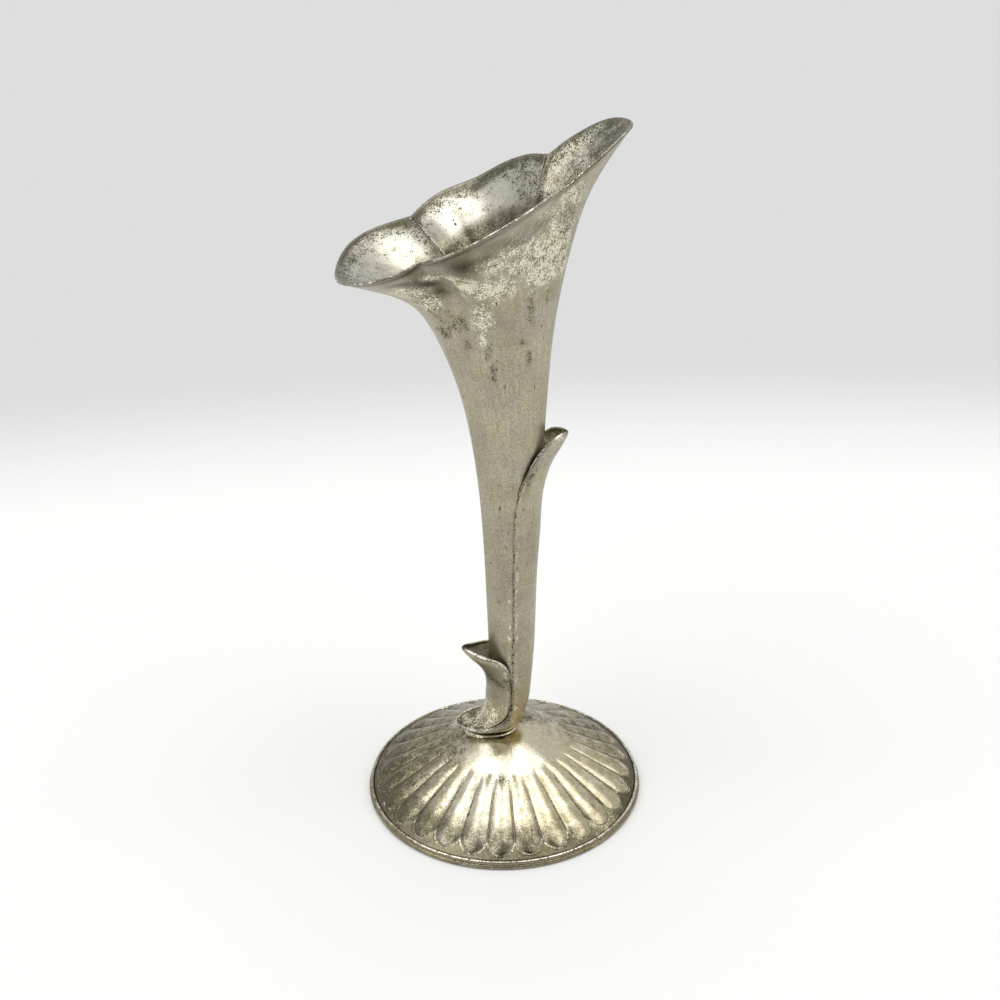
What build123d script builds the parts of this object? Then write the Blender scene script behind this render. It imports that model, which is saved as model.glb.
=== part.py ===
from build123d import *
import os
from math import hypot, pi, sqrt, tan

# A silver-plated bud vase in the shape of a lily, in millimetres.
# The origin is the centre of the foot's underside, +Z is up, and +X points to the tall lobe of the mouth.
# The vase is mirror-symmetric about the XZ plane, apart from the hexagon of its nut.

# Foot: a domed sheet with flutes, a plain brim and a stepped rim
foot_radius = 40.0
foot_sheet = 0.8
dome_height = 19.4
seat_radius = 7.0
crown_radius = 20.0
crown_height = 12.9
slope_end_height = 3.8
brim_inset = 1.5
brim_width = 3.0
flute_count = 28
flute_groove = 0.3
flute_start_inset = 1.0
flute_start_rise = 0.3
flute_tip_inset = 1.15
flute_end_rise = 1.0
rim_land = 3.0
rim_band_height = 1.25
rim_bead_width = 0.85
rim_bead_height = 2.35
rim_round = 0.3

# Tube: bend from the foot's axis, height and radius at five stations, the lowest over the collar
tube_wall = 1.1
base_bend = 0.1
base_rise = 3.9
base_radius = 4.5
stalk_low_bend = 1.75
stalk_low_height = 36.0
stalk_low_radius = 5.65
stalk_mid_bend = 2.3
stalk_mid_height = 61.0
stalk_mid_radius = 6.45
stalk_top_bend = 2.6
stalk_top_height = 95.0
stalk_top_radius = 8.2
throat_bend = 1.6
throat_height = 121.2
throat_radius = 11.0

# Mouth: the low lobe on the left, the tall lobe on the right
mouth_left_reach = 39.8
mouth_left_height = 156.6
mouth_right_reach = 33.0
mouth_right_height = 190.8
mouth_breadth = 40.2
mouth_sag = 1.8

# Leaves: sheaths of the same sheet, soldered to the tube. The root's heights are over the collar.
leaf_sheet = 0.8
solder_gap = 0.15
long_tip_reach = 18.4
long_tip_height = 111.4
lower_tip_reach = 11.4
lower_tip_height = 46.7
root_tip_reach = 13.7
root_tip_rise = 1.8
root_rise = 9.9
root_bend = -3.6
root_radius = 6.6

# Collar and fixing
collar_radius = 7.6
collar_thickness = 0.7
stud_radius = 1.5
stud_tail = 1.2
thread_clearance = 0.05
hole_clearance = 0.25
plug_height = 5.0
plug_tip_wall = 1.2
washer_radius = 5.0
washer_thickness = 0.8
nut_across_flats = 5.5
nut_thickness = 2.4

# How many equal steps the lofts of the stalk, of the leaves' plain stretches and of the plug take
stalk_steps = 8
long_leaf_steps = 6
lower_leaf_steps = 3
plug_steps = 2

# Every cut runs this far past the solid that it cuts.
overrun = 1.0

# Shares of a unit circle drawn as four cubic curves
corner_share = sqrt(1 / 2)
arc_share = 4 / 3 * tan(pi / 8)
circle_low_share = corner_share * (1 - arc_share)
circle_high_share = corner_share * (1 + arc_share)

# The open flower: how wide its low and tall lobes are, and the handles of its side lobes
low_lobe_share = 0.95
tall_lobe_share = 0.40
side_low_shares = (-0.265, 0.9125)
side_tall_shares = (0.20, 0.85)

# From throat to mouth: left out and up, right out and up, breadth, bloom, left notch, right notch
bloom_shares = [
    (0.105, 0.31, 0.055, 0.195, 0.075, 0.05, (0.70, 0.70), (0.70, 0.70)),
    (0.23, 0.56, 0.12, 0.345, 0.17, 0.25, (0.60, 0.64), (0.68, 0.65)),
    (0.38, 0.75, 0.215, 0.485, 0.285, 0.55, (0.44, 0.55), (0.64, 0.56)),
    (0.595, 0.86, 0.355, 0.64, 0.47, 0.75, (0.35, 0.47), (0.61, 0.46)),
    (0.81, 0.93, 0.56, 0.80, 0.69, 0.90, (0.39, 0.50), (0.57, 0.42)),
    (1.0, 1.0, 1.0, 1.0, 1.0, 1.0, (0.475, 0.56), (0.48, 0.45)),
    (1.07, 1.03, 1.12, 1.06, 1.11, 1.0, (0.50, 0.58), (0.46, 0.46)),
]

# The round stalk keeps a trace of the four lobes.
stalk_bloom_share = 0.02

# The wall is measured across the section, so a flared stretch is set in further.
flare_inset_share = 0.7

# How far past its tips the lip's arc is drawn
lip_run_share = 1.2

# The seam between the leaves, from the root's tip to the long leaf's tip.
# Its points are shares of the root's reach and rise, then of the lower leaf's reach and height,
# and then of the long leaf's reach and height.
root_seam_shares = [(-0.74, 0.24), (-0.47, 0.39), (-0.26, 0.59), (-0.11, 0.87), (-0.06, 1.0)]
mid_seam_shares = [(0.18, 0.80), (0.215, 1.0)]
long_seam_shares = [
    (0.145, 0.56), (0.165, 0.77), (0.205, 0.858), (0.265, 0.893), (0.35, 0.918), (0.46, 0.94),
    (0.60, 0.953), (0.76, 0.97),
]

# The lower leaf's own edge, from the seam to its tip, in shares of its reach and height
lower_edge_shares = [(0.15, 0.79), (0.16, 0.86), (0.035, 0.94), (-0.19, 0.985), (-0.61, 1.004)]

# The leaves' open tips: shares of the tip's height and reach, and how pointed the section is
long_spout_shares = [
    (0.905, 0.67, 0.10), (0.93, 0.73, 0.35), (0.955, 0.80, 0.65), (0.98, 0.91, 0.9), (1.01, 1.03, 1.0),
]
lower_spout_shares = [
    (0.83, 0.51, 0.3), (0.91, 0.745, 0.7), (0.985, 0.965, 0.95), (1.04, 1.09, 1.0),
]

# The plain stretch of a sheath ends at a share of the tip's height and has a slight keel.
# A point's handles are shares of its reach and width, and its hollow stops short of it.
sheath_top_share = 0.86
keel_share = 0.06
point_reach_share = 0.72
point_width_share = 0.22
tip_inset_share = 1.5

# The root's outside and its scoop: share of its height, of its bend, of its radius, of its reach, and point
root_shares = [
    (0.0, 1.0, 1.0, 0.745, keel_share),
    (0.19, 0.64, 0.985, 1.0, 0.8),
    (0.45, 0.25, 0.965, 1.03, 1.0),
    (0.7, -0.06, 0.95, 1.06, 1.0),
]
scoop_shares = [
    (0.12, 1.3, 0.33, 0.74, 0.3),
    (0.25, 0.8, 0.52, 0.92, 0.8),
    (0.5, 0.4, 0.64, 0.96, 1.0),
    (1.1, 0.2, 0.66, 1.0, 1.0),
]

# The crown's curve: shares of the way from the seat to the top of the straight slope
crown_out_share = 0.35
crown_drop_share = 0.08

# The stud's end chamfers, as a share of its radius
stud_chamfer_share = 0.25


def between(start, end, share):
    """The value at a share of the way from start to end."""
    return start + (end - start) * share


def station_slope(index, column):
    """How fast a column of the stations changes with height at one of them."""
    before = stations[max(index - 1, 0)]
    after = stations[min(index + 1, len(stations) - 1)]
    return (after[column] - before[column]) / (after[1] - before[1])


def station_value(height, column):
    """A column of the stations at any height, on smooth cubic curves between them."""
    index = 0
    while index < len(stations) - 2 and height > stations[index + 1][1]:
        index += 1
    low = stations[index]
    high = stations[index + 1]
    step = high[1] - low[1]
    share = (height - low[1]) / step
    rest = 1 - share
    ends = low[column] * (1 + 2 * share) * rest * rest + high[column] * (1 + 2 * rest) * share * share
    low_turn = station_slope(index, column) * step * share * rest * rest
    high_turn = station_slope(index + 1, column) * step * rest * share * share
    return ends + low_turn - high_turn


def tube_station(height):
    """The tube's bend and radius at a height up to the throat."""
    return station_value(height, 0), station_value(height, 2)


def even_steps(start, end, count):
    """Heights from start to end in equal steps, both ends included."""
    return [between(start, end, step / count) for step in range(count + 1)]


def across(left, right):
    """The plane across the tube through two outline points, and half the distance between them."""
    run = right[0] - left[0]
    rise = right[1] - left[1]
    centre = ((left[0] + right[0]) / 2, 0, (left[1] + right[1]) / 2)
    return Plane(origin=centre, x_dir=(run, 0, rise), z_dir=(-rise, 0, run)), hypot(run, rise) / 2


def lobed_section(left, right, breadth, bloom, left_notch, right_notch, inset):
    """A section of the tube: a circle where bloom is 0, a four-lobed flower where it is 1."""
    plane, reach = across(left, right)
    long = reach - inset
    wide = breadth - inset
    low_width = between(circle_low_share, low_lobe_share, bloom) * wide
    tall_width = between(circle_low_share, tall_lobe_share, bloom) * wide
    low_out = -(4 - left_notch[0]) / 3 * long
    tall_out = (4 - right_notch[0]) / 3 * long
    side_low_x = between(-circle_low_share, side_low_shares[0], bloom) * long
    side_low_y = between(circle_high_share, side_low_shares[1], bloom) * wide
    side_tall_x = between(circle_low_share, side_tall_shares[0], bloom) * long
    side_tall_y = between(circle_high_share, side_tall_shares[1], bloom) * wide
    low_x = -left_notch[0] * long
    low_y = left_notch[1] * wide
    tall_x = right_notch[0] * long
    tall_y = right_notch[1] * wide
    with BuildSketch(plane) as section:
        with BuildLine():
            Bezier((tall_x, -tall_y), (tall_out, -tall_width), (tall_out, tall_width), (tall_x, tall_y))
            Bezier((tall_x, tall_y), (side_tall_x, side_tall_y), (side_low_x, side_low_y), (low_x, low_y))
            Bezier((low_x, low_y), (low_out, low_width), (low_out, -low_width), (low_x, -low_y))
            Bezier((low_x, -low_y), (side_low_x, -side_low_y), (side_tall_x, -side_tall_y), (tall_x, -tall_y))
        make_face()
    return section.sketch


def stalk_section(height, inset):
    """A section of the round stalk, set in by a wall."""
    bend, radius = tube_station(height)
    left = (bend - radius, height)
    right = (bend + radius, height)
    notch = (corner_share, corner_share)
    return lobed_section(left, right, radius, stalk_bloom_share, notch, notch, inset)


def tube_sections(first_inset, flare_inset):
    """The tube's sections from its base to past the lip, set in by a wall that grows with the flare."""
    heights = even_steps(base_height, throat_height, stalk_steps)
    sections = [stalk_section(height, first_inset) for height in heights]
    for left_out, left_up, right_out, right_up, broad, bloom, left_notch, right_notch in bloom_shares:
        left = (
            between(throat_bend - throat_radius, -mouth_left_reach, left_out),
            between(throat_height, mouth_left_height, left_up),
        )
        right = (
            between(throat_bend + throat_radius, mouth_right_reach, right_out),
            between(throat_height, mouth_right_height, right_up),
        )
        breadth = between(throat_radius, mouth_breadth, broad)
        inset = first_inset + flare_inset * bloom
        sections.append(lobed_section(left, right, breadth, bloom, left_notch, right_notch, inset))
    return sections


def sheath_section(bend, height, radius, reach, point, side):
    """A round section about the tube whose one side, -1 left or 1 right, runs out to a point."""
    handle = arc_share * radius
    tip_x = side * reach
    tip_handle_x = tip_x * between(1, point_reach_share, point)
    tip_handle_y = radius * between(arc_share, point_width_share, point)
    heel_x = -side * radius
    side_handle = side * handle
    with BuildSketch(Plane(origin=(bend, 0, height), x_dir=(1, 0, 0), z_dir=(0, 0, 1))) as section:
        with BuildLine():
            Bezier((tip_x, 0), (tip_handle_x, tip_handle_y), (side_handle, radius), (0, radius))
            Bezier((0, radius), (-side_handle, radius), (heel_x, handle), (heel_x, 0))
            Bezier((heel_x, 0), (heel_x, -handle), (-side_handle, -radius), (0, -radius))
            Bezier((0, -radius), (side_handle, -radius), (tip_handle_x, -tip_handle_y), (tip_x, 0))
        make_face()
    return section.sketch


def spout_sections(tip_reach, tip_height, spout_shares, side, outset, tip_inset):
    """A sheath's pointed sections: the tube's size plus an outset, and the tip set back by an inset."""
    sections = []
    for height_share, reach_share, point in spout_shares:
        height = tip_height * height_share
        bend, radius = tube_station(height)
        reach = tip_reach * reach_share - side * bend - tip_inset
        sections.append(sheath_section(bend, height, radius + outset, reach, point, side))
    return sections


def round_section(height, outset, side):
    """A nearly round section about the tube, larger by an outset, with the sheath's slight keel."""
    bend, radius = tube_station(height)
    return sheath_section(bend, height, radius + outset, radius + outset, keel_share, side)


def root_section(row):
    """A section of the root leaf from its row of shares."""
    height_share, bend_share, radius_share, reach_share, point = row
    bend = root_bend * bend_share
    height = between(collar_top, root_top_height, height_share)
    reach = root_tip_reach * reach_share + bend
    return sheath_section(bend, height, root_radius * radius_share, reach, point, -1)


def slope_height(radius):
    """The height of the dome's straight slope at a radius."""
    return crown_height - (radius - crown_radius) * slope_drop / slope_run


def dome_face(drop, floor):
    """The space under the dome's outside, lowered by a drop, down to a floor."""
    crown_mid = between(seat_radius, crown_radius, 1 - crown_out_share)
    with BuildSketch(Plane.XZ) as face:
        with BuildLine():
            Line((0, dome_height - drop), (seat_radius, dome_height - drop))
            Bezier(
                (seat_radius, dome_height - drop),
                (
                    between(seat_radius, crown_radius, crown_out_share),
                    between(dome_height, crown_height, crown_drop_share) - drop,
                ),
                (crown_mid, slope_height(crown_mid) - drop),
                (crown_radius, crown_height - drop),
            )
            Polyline(
                (crown_radius, crown_height - drop),
                (slope_end_radius, slope_end_height - drop),
                (brim_radius, brim_height - drop),
                (brim_radius, floor),
                (0, floor),
                (0, dome_height - drop),
            )
        make_face()
    return face.sketch


def named_points(shares, reach, height):
    """Points of an edge seen from the side, from shares of a reach and a height."""
    return [(reach * x_share, height * z_share) for x_share, z_share in shares]


collar_top = dome_height + collar_thickness
base_height = collar_top + base_rise
root_tip_height = collar_top + root_tip_rise
root_top_height = collar_top + root_rise
stations = [
    (base_bend, base_height, base_radius),
    (stalk_low_bend, stalk_low_height, stalk_low_radius),
    (stalk_mid_bend, stalk_mid_height, stalk_mid_radius),
    (stalk_top_bend, stalk_top_height, stalk_top_radius),
    (throat_bend, throat_height, throat_radius),
]
brim_radius = foot_radius - brim_inset
brim_height = rim_band_height + solder_gap + foot_sheet
slope_end_radius = brim_radius - brim_width
slope_run = slope_end_radius - crown_radius
slope_drop = crown_height - slope_end_height
leaf_outset = solder_gap + leaf_sheet
leaf_tip_inset = leaf_sheet * tip_inset_share
cut_half_width = mouth_breadth + overrun
leaf_clear = long_tip_reach + lower_tip_reach + root_tip_reach
root_seam = [(root_tip_reach * x, collar_top + root_rise * z) for x, z in root_seam_shares]
mid_seam = named_points(mid_seam_shares, lower_tip_reach, lower_tip_height)
long_seam = named_points(long_seam_shares, long_tip_reach, long_tip_height)
root_tip = (-root_tip_reach, root_tip_height)
long_tip = (long_tip_reach, long_tip_height)
lower_tip = (-lower_tip_reach, lower_tip_height)

os.makedirs("parts", exist_ok=True)

# Trumpet: a raised sheet, round at the stalk and four-lobed at its slanted lip
lip_left = (-mouth_left_reach, mouth_left_height)
lip_right = (mouth_right_reach, mouth_right_height)
lip_plane, lip_reach = across(lip_left, lip_right)
lip_end = lip_reach * lip_run_share
lip_lift = mouth_sag * (lip_run_share * lip_run_share - 1)
lip_clear = mouth_right_height - mouth_left_height
lip_cut_plane = Plane(origin=lip_plane.origin, x_dir=lip_plane.x_dir, z_dir=(0, -1, 0))

with BuildPart() as trumpet:
    loft(sections=tube_sections(0, 0))
    loft(sections=tube_sections(tube_wall, tube_wall * flare_inset_share), mode=Mode.SUBTRACT)
    with BuildSketch(lip_cut_plane):
        with BuildLine():
            ThreePointArc((-lip_end, lip_lift), (0, -mouth_sag), (lip_end, lip_lift))
            Polyline((lip_end, lip_lift), (lip_end, lip_clear), (-lip_end, lip_clear), (-lip_end, lip_lift))
        make_face()
    extrude(amount=cut_half_width, both=True, mode=Mode.SUBTRACT)
trumpet.part.label = "trumpet"
export_step(trumpet.part, "parts/trumpet.step")

# The space that the tube takes up, with room for solder, which the leaves and the root are cut back from
with BuildPart() as tube_space:
    loft(sections=tube_sections(-solder_gap, 0))

# Plug: closes the bottom of the tube, with a blind threaded hole for the stud
with BuildPart() as stem_plug:
    heights = even_steps(base_height, base_height + plug_height, plug_steps)
    loft(sections=[stalk_section(height, tube_wall + solder_gap) for height in heights])
    with BuildSketch(Plane.XY.offset(base_height)):
        Circle(stud_radius + thread_clearance)
    extrude(amount=plug_height - plug_tip_wall, mode=Mode.SUBTRACT)
stem_plug.part.label = "stem_plug"
export_step(stem_plug.part, "parts/stem_plug.step")

# Long leaf: a sheath on the right of the stalk, whose tip curls out
with BuildPart() as long_leaf:
    sheath_top = long_tip_height * sheath_top_share
    low = [round_section(h, leaf_outset, 1) for h in even_steps(root_top_height, sheath_top, long_leaf_steps)]
    spout = spout_sections(long_tip_reach, long_tip_height, long_spout_shares, 1, leaf_outset, 0)
    hollow = spout_sections(long_tip_reach, long_tip_height, long_spout_shares, 1, 0, leaf_tip_inset)
    loft(sections=low + spout, ruled=True)
    loft(sections=hollow, ruled=True, mode=Mode.SUBTRACT)
    add(tube_space.part, mode=Mode.SUBTRACT)
    with BuildSketch(Plane.XZ):
        with BuildLine():
            Spline([root_seam[-1]] + mid_seam + long_seam + [long_tip])
            Polyline(
                long_tip,
                (leaf_clear, long_tip_height),
                (leaf_clear, root_top_height),
                root_seam[-1],
            )
        make_face()
    extrude(amount=cut_half_width, both=True, mode=Mode.INTERSECT)
long_leaf.part.label = "long_leaf"
export_step(long_leaf.part, "parts/long_leaf.step")

# Lower leaf: a short sheath on the left, whose tip curls out
lower_edge = named_points(lower_edge_shares, lower_tip_reach, lower_tip_height)
lower_seam = [(x - solder_gap, z) for x, z in root_seam[1:]]
lower_top = lower_edge[0][1]

with BuildPart() as lower_leaf:
    low = [round_section(h, leaf_outset, -1) for h in even_steps(base_height, lower_top, lower_leaf_steps)]
    spout = spout_sections(lower_tip_reach, lower_tip_height, lower_spout_shares, -1, leaf_outset, 0)
    hollow = spout_sections(lower_tip_reach, lower_tip_height, lower_spout_shares, -1, 0, leaf_tip_inset)
    loft(sections=low + spout, ruled=True)
    loft(sections=hollow, ruled=True, mode=Mode.SUBTRACT)
    add(tube_space.part, mode=Mode.SUBTRACT)
    with BuildSketch(Plane.XZ):
        with BuildLine():
            Spline(lower_seam + lower_edge + [lower_tip])
            Polyline(
                lower_tip,
                (-leaf_clear, lower_tip_height),
                (-leaf_clear, lower_seam[0][1]),
                lower_seam[0],
            )
        make_face()
    extrude(amount=cut_half_width, both=True, mode=Mode.INTERSECT)
lower_leaf.part.label = "lower_leaf"
export_step(lower_leaf.part, "parts/lower_leaf.step")

# Scoop: the hollow inside the root leaf's pointed end, left of the stalk
with BuildPart() as scoop:
    loft(sections=[root_section(row) for row in scoop_shares], ruled=True)
    with BuildSketch(Plane.XY.offset(collar_top)):
        with Locations((base_bend, 0)):
            Circle(base_radius + leaf_outset)
    extrude(amount=mouth_left_height, mode=Mode.SUBTRACT)

# Root leaf: the solid bottom of the stalk, with a scooped end that points left
with BuildPart() as root_leaf:
    root_top = round_section(root_top_height, leaf_outset, -1)
    loft(sections=[root_section(row) for row in root_shares] + [root_top], ruled=True)
    add(scoop.part, mode=Mode.SUBTRACT)
    add(tube_space.part, mode=Mode.SUBTRACT)
    with BuildSketch(Plane.XZ):
        with BuildLine():
            Spline([root_tip] + root_seam)
            Polyline(
                root_seam[-1],
                (leaf_clear, root_top_height),
                (leaf_clear, collar_top),
                (-leaf_clear, collar_top),
                (-leaf_clear, root_tip_height),
                root_tip,
            )
        make_face()
    extrude(amount=cut_half_width, both=True, mode=Mode.INTERSECT)
    with BuildSketch(Plane.XY.offset(collar_top)):
        Circle(stud_radius + hole_clearance)
    extrude(amount=root_rise, mode=Mode.SUBTRACT)
root_leaf.part.label = "root_leaf"
export_step(root_leaf.part, "parts/root_leaf.step")

# Collar: the ring of solder and sheet under the root, shaped to the dome
with BuildPart() as dome_space:
    add(dome_face(0, 0))
    revolve(axis=Axis.Z)

with BuildPart() as stem_collar:
    with BuildSketch(Plane.XY.offset(crown_height)):
        with Locations((root_bend, 0)):
            Circle(collar_radius)
    extrude(amount=collar_top - crown_height)
    add(dome_space.part, mode=Mode.SUBTRACT)
    with BuildSketch(Plane.XY.offset(crown_height)):
        Circle(stud_radius + hole_clearance)
    extrude(amount=collar_top - crown_height, mode=Mode.SUBTRACT)
stem_collar.part.label = "stem_collar"
export_step(stem_collar.part, "parts/stem_collar.step")

# One flute: a tapered, round-ended bulge along the slope, which stands on the middle of the sheet
slope_length = hypot(slope_run, slope_drop)
flute_start_radius = crown_radius - flute_start_inset
flute_end_radius = (brim_radius - flute_tip_inset) / (1 + pi / flute_count)
flute_start_half = pi * flute_start_radius / flute_count - flute_groove / 2
flute_end_half = pi * flute_end_radius / flute_count - flute_groove / 2
flute_start_ball = (flute_start_half**2 + flute_start_rise**2) / (2 * flute_start_rise)
flute_end_ball = (flute_end_half**2 + flute_end_rise**2) / (2 * flute_end_rise)
slope_normal = Vector(slope_drop, 0, slope_run) / slope_length
flute_start = Vector(flute_start_radius, 0, slope_height(flute_start_radius))
flute_end = Vector(flute_end_radius, 0, slope_height(flute_end_radius))
flute_start_axis = flute_start + slope_normal * (flute_start_rise - flute_start_ball)
flute_end_axis = flute_end + slope_normal * (flute_end_rise - flute_end_ball)
flute_plane = Plane(origin=flute_end_axis, x_dir=flute_end_axis - flute_start_axis, z_dir=(0, -1, 0))
flute_length = (flute_end_axis - flute_start_axis).length

with BuildPart() as flute_space:
    with BuildSketch(Plane.XY):
        Circle(brim_radius - solder_gap)
    extrude(amount=dome_height)
    add(dome_face(foot_sheet / 2, -overrun))
    revolve(axis=Axis.Z, mode=Mode.SUBTRACT)

with BuildPart() as flute:
    with BuildSketch(flute_plane):
        with BuildLine():
            Polyline(
                (flute_end_ball, 0),
                (-flute_length, 0),
                (-flute_length, flute_start_ball),
                (0, flute_end_ball),
            )
            CenterArc((0, 0), flute_end_ball, 0, 90)
        make_face()
    revolve(axis=Axis(flute_end_axis, flute_end_axis - flute_start_axis))
    add(flute_space.part, mode=Mode.INTERSECT)

# Foot: the domed sheet, with a flat seat in the middle and flutes round its slope
with BuildPart() as foot:
    add(dome_face(0, 0))
    revolve(axis=Axis.Z)
    with PolarLocations(0, flute_count, start_angle=180 / flute_count):
        add(flute.part)
    add(dome_face(foot_sheet, -overrun))
    revolve(axis=Axis.Z, mode=Mode.SUBTRACT)
    with BuildSketch(Plane.XY):
        Circle(stud_radius + hole_clearance)
    extrude(amount=dome_height, mode=Mode.SUBTRACT)
foot.part.label = "foot"
export_step(foot.part, "parts/foot.step")

# Rim: a stepped ring round the brim, with a flat underside to stand on
rim_inner_radius = foot_radius - rim_land
bead_inner_radius = brim_radius + solder_gap
bead_outer_radius = bead_inner_radius + rim_bead_width

with BuildPart() as foot_rim:
    with BuildSketch(Plane.XZ):
        with BuildLine():
            Polyline(
                (rim_inner_radius, 0),
                (foot_radius, 0),
                (foot_radius, rim_band_height),
                (bead_outer_radius, rim_band_height),
                (bead_outer_radius, rim_bead_height),
                (bead_inner_radius, rim_bead_height),
                (bead_inner_radius, rim_band_height),
                (rim_inner_radius, rim_band_height),
                (rim_inner_radius, 0),
            )
        make_face()
    revolve(axis=Axis.Z)
    rings = foot_rim.edges().filter_by(GeomType.CIRCLE)
    fillet(rings.group_by(SortBy.RADIUS)[-1].sort_by(Axis.Z)[-1:] + rings.group_by(Axis.Z)[-1], rim_round)
foot_rim.part.label = "foot_rim"
export_step(foot_rim.part, "parts/foot_rim.step")

# Washer, nut and stud: the stud holds the plug, root and collar to the dome from below
washer_top = dome_height - foot_sheet
nut_top = washer_top - washer_thickness
stud_bottom = nut_top - nut_thickness - stud_tail
stud_top = base_height + plug_height - plug_tip_wall

with BuildPart() as washer:
    with BuildSketch(Plane.XY.offset(washer_top)):
        Circle(washer_radius)
        Circle(stud_radius + hole_clearance, mode=Mode.SUBTRACT)
    extrude(amount=-washer_thickness)
washer.part.label = "washer"
export_step(washer.part, "parts/washer.step")

with BuildPart() as nut:
    with BuildSketch(Plane.XY.offset(nut_top)):
        RegularPolygon(nut_across_flats / 2, 6, major_radius=False)
        Circle(stud_radius + thread_clearance, mode=Mode.SUBTRACT)
    extrude(amount=-nut_thickness)
nut.part.label = "nut"
export_step(nut.part, "parts/nut.step")

with BuildPart() as stud:
    with BuildSketch(Plane.XY.offset(stud_bottom)):
        Circle(stud_radius)
    extrude(amount=stud_top - stud_bottom)
    chamfer(stud.edges().filter_by(GeomType.CIRCLE), stud_radius * stud_chamfer_share)
stud.part.label = "stud"
export_step(stud.part, "parts/stud.step")
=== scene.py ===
import math

import bmesh
import bpy
import numpy as np
from mathutils import Matrix, Vector


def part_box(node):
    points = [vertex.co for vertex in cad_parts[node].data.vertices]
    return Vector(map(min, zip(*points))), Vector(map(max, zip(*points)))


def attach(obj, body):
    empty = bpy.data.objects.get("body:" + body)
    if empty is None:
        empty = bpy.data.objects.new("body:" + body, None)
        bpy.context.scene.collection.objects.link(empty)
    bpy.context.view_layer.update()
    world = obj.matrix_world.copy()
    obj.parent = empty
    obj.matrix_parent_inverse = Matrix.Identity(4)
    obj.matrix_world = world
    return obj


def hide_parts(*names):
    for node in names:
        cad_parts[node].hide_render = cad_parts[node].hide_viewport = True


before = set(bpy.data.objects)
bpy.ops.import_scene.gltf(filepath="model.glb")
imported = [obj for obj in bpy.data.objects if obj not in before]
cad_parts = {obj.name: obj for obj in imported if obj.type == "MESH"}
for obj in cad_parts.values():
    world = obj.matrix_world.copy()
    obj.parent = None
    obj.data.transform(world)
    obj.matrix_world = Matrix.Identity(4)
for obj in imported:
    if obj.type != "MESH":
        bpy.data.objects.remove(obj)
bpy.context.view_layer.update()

MM = 0.001  # metres in a millimetre: sizes and places below are in millimetres


def node_box(node):
    """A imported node's lowest and highest corners, in millimetres."""
    low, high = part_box(node)
    return np.array(low) / MM, np.array(high) / MM


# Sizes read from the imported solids
foot_high = node_box("foot")[1]
rim_high = node_box("foot_rim")[1]
collar_low, collar_high = node_box("stem_collar")
FOOT_RADIUS = rim_high[0]
BRIM_RADIUS = foot_high[0]
DOME_TOP = foot_high[2]
COLLAR_TOP = collar_high[2]
COLLAR_RADIUS = (collar_high[0] - collar_low[0]) / 2
COLLAR_X = (collar_high[0] + collar_low[0]) / 2

# Trumpet: sections from the bottom of the stalk to the lip. Each runs from its left end to its right
# end; bloom goes from a round section to a four-lobed one, whose notches are shares of its half length.
ROUND = math.sqrt(0.5)
TRUMPET_SECTIONS = [
    # left x, left z, right x, right z, bloom, left notch out, left notch wide, right notch out, wide
    (-4.4, 24.0, 4.6, 24.0, 0.0, ROUND, ROUND, ROUND, ROUND),
    (-3.9, 36.0, 7.4, 36.0, 0.0, ROUND, ROUND, ROUND, ROUND),
    (-4.15, 61.0, 8.75, 61.0, 0.0, ROUND, ROUND, ROUND, ROUND),
    (-5.6, 95.0, 10.8, 95.0, 0.0, ROUND, ROUND, ROUND, ROUND),
    (-9.4, 121.2, 12.6, 121.2, 0.0, ROUND, ROUND, ROUND, ROUND),
    (-12.6, 132.0, 13.7, 135.0, 0.05, 0.70, 0.70, 0.70, 0.70),
    (-16.4, 141.0, 15.1, 145.5, 0.25, 0.60, 0.64, 0.68, 0.65),
    (-21.0, 147.8, 17.0, 155.0, 0.55, 0.44, 0.55, 0.64, 0.56),
    (-27.5, 151.6, 19.8, 166.0, 0.75, 0.35, 0.47, 0.61, 0.46),
    (-34.0, 154.0, 24.0, 177.0, 0.90, 0.39, 0.50, 0.57, 0.42),
    (-39.8, 156.6, 33.0, 190.8, 1.00, 0.475, 0.56, 0.4825, 0.4525),
]
TRUMPET_WALL = 1.1
MOUTH_SAG = 1.8
LOBE_RISE = (0.9, 1.1, 0.9, 1.1)
NOTCH_DIP = 0.8
END_NOTCH_WIDTH = 0.05
SIDE_NOTCH_WIDTH = 0.07
BACK_DIP = 1.5
BACK_DIP_PLACE = 0.48
BACK_DIP_WIDTH = 0.19
# Handles of the sections' curves, as shares of the half length: a circle's, then the open mouth's
CIRCLE_HANDLE = (0.3166, 1.0976)
LEFT_END_ROUND = 0.95
RIGHT_END_ROUND = 0.4
SIDE_NEAR = (0.2, 0.85)
SIDE_FAR = (-0.265, 0.9125)
LOBE_STEPS = 48
TRUMPET_STEP = 1.1
LIP_WALL = 0.7
LIP_TAPER = 8.0
LIP_MARGIN = 0.8
LIP_BEAD = [
    # out from the wall, up along it
    (0.02, -0.5), (0.07, -0.36), (0.11, -0.2), (0.09, -0.05), (0.01, 0.07), (-0.14, 0.13),
    (-0.33, 0.14), (-0.49, 0.08), (-0.61, -0.04), (-0.67, -0.2), (-0.7, -0.36), (-0.7, -0.5),
]
MITRE_LIMIT = 0.6
FOLD_ROUND = 5.0
FOLD_FADE = (0.5, 9.0)
FOLD_LEAST = 0.05
TRUMPET_GIRTH = 12.0

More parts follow.
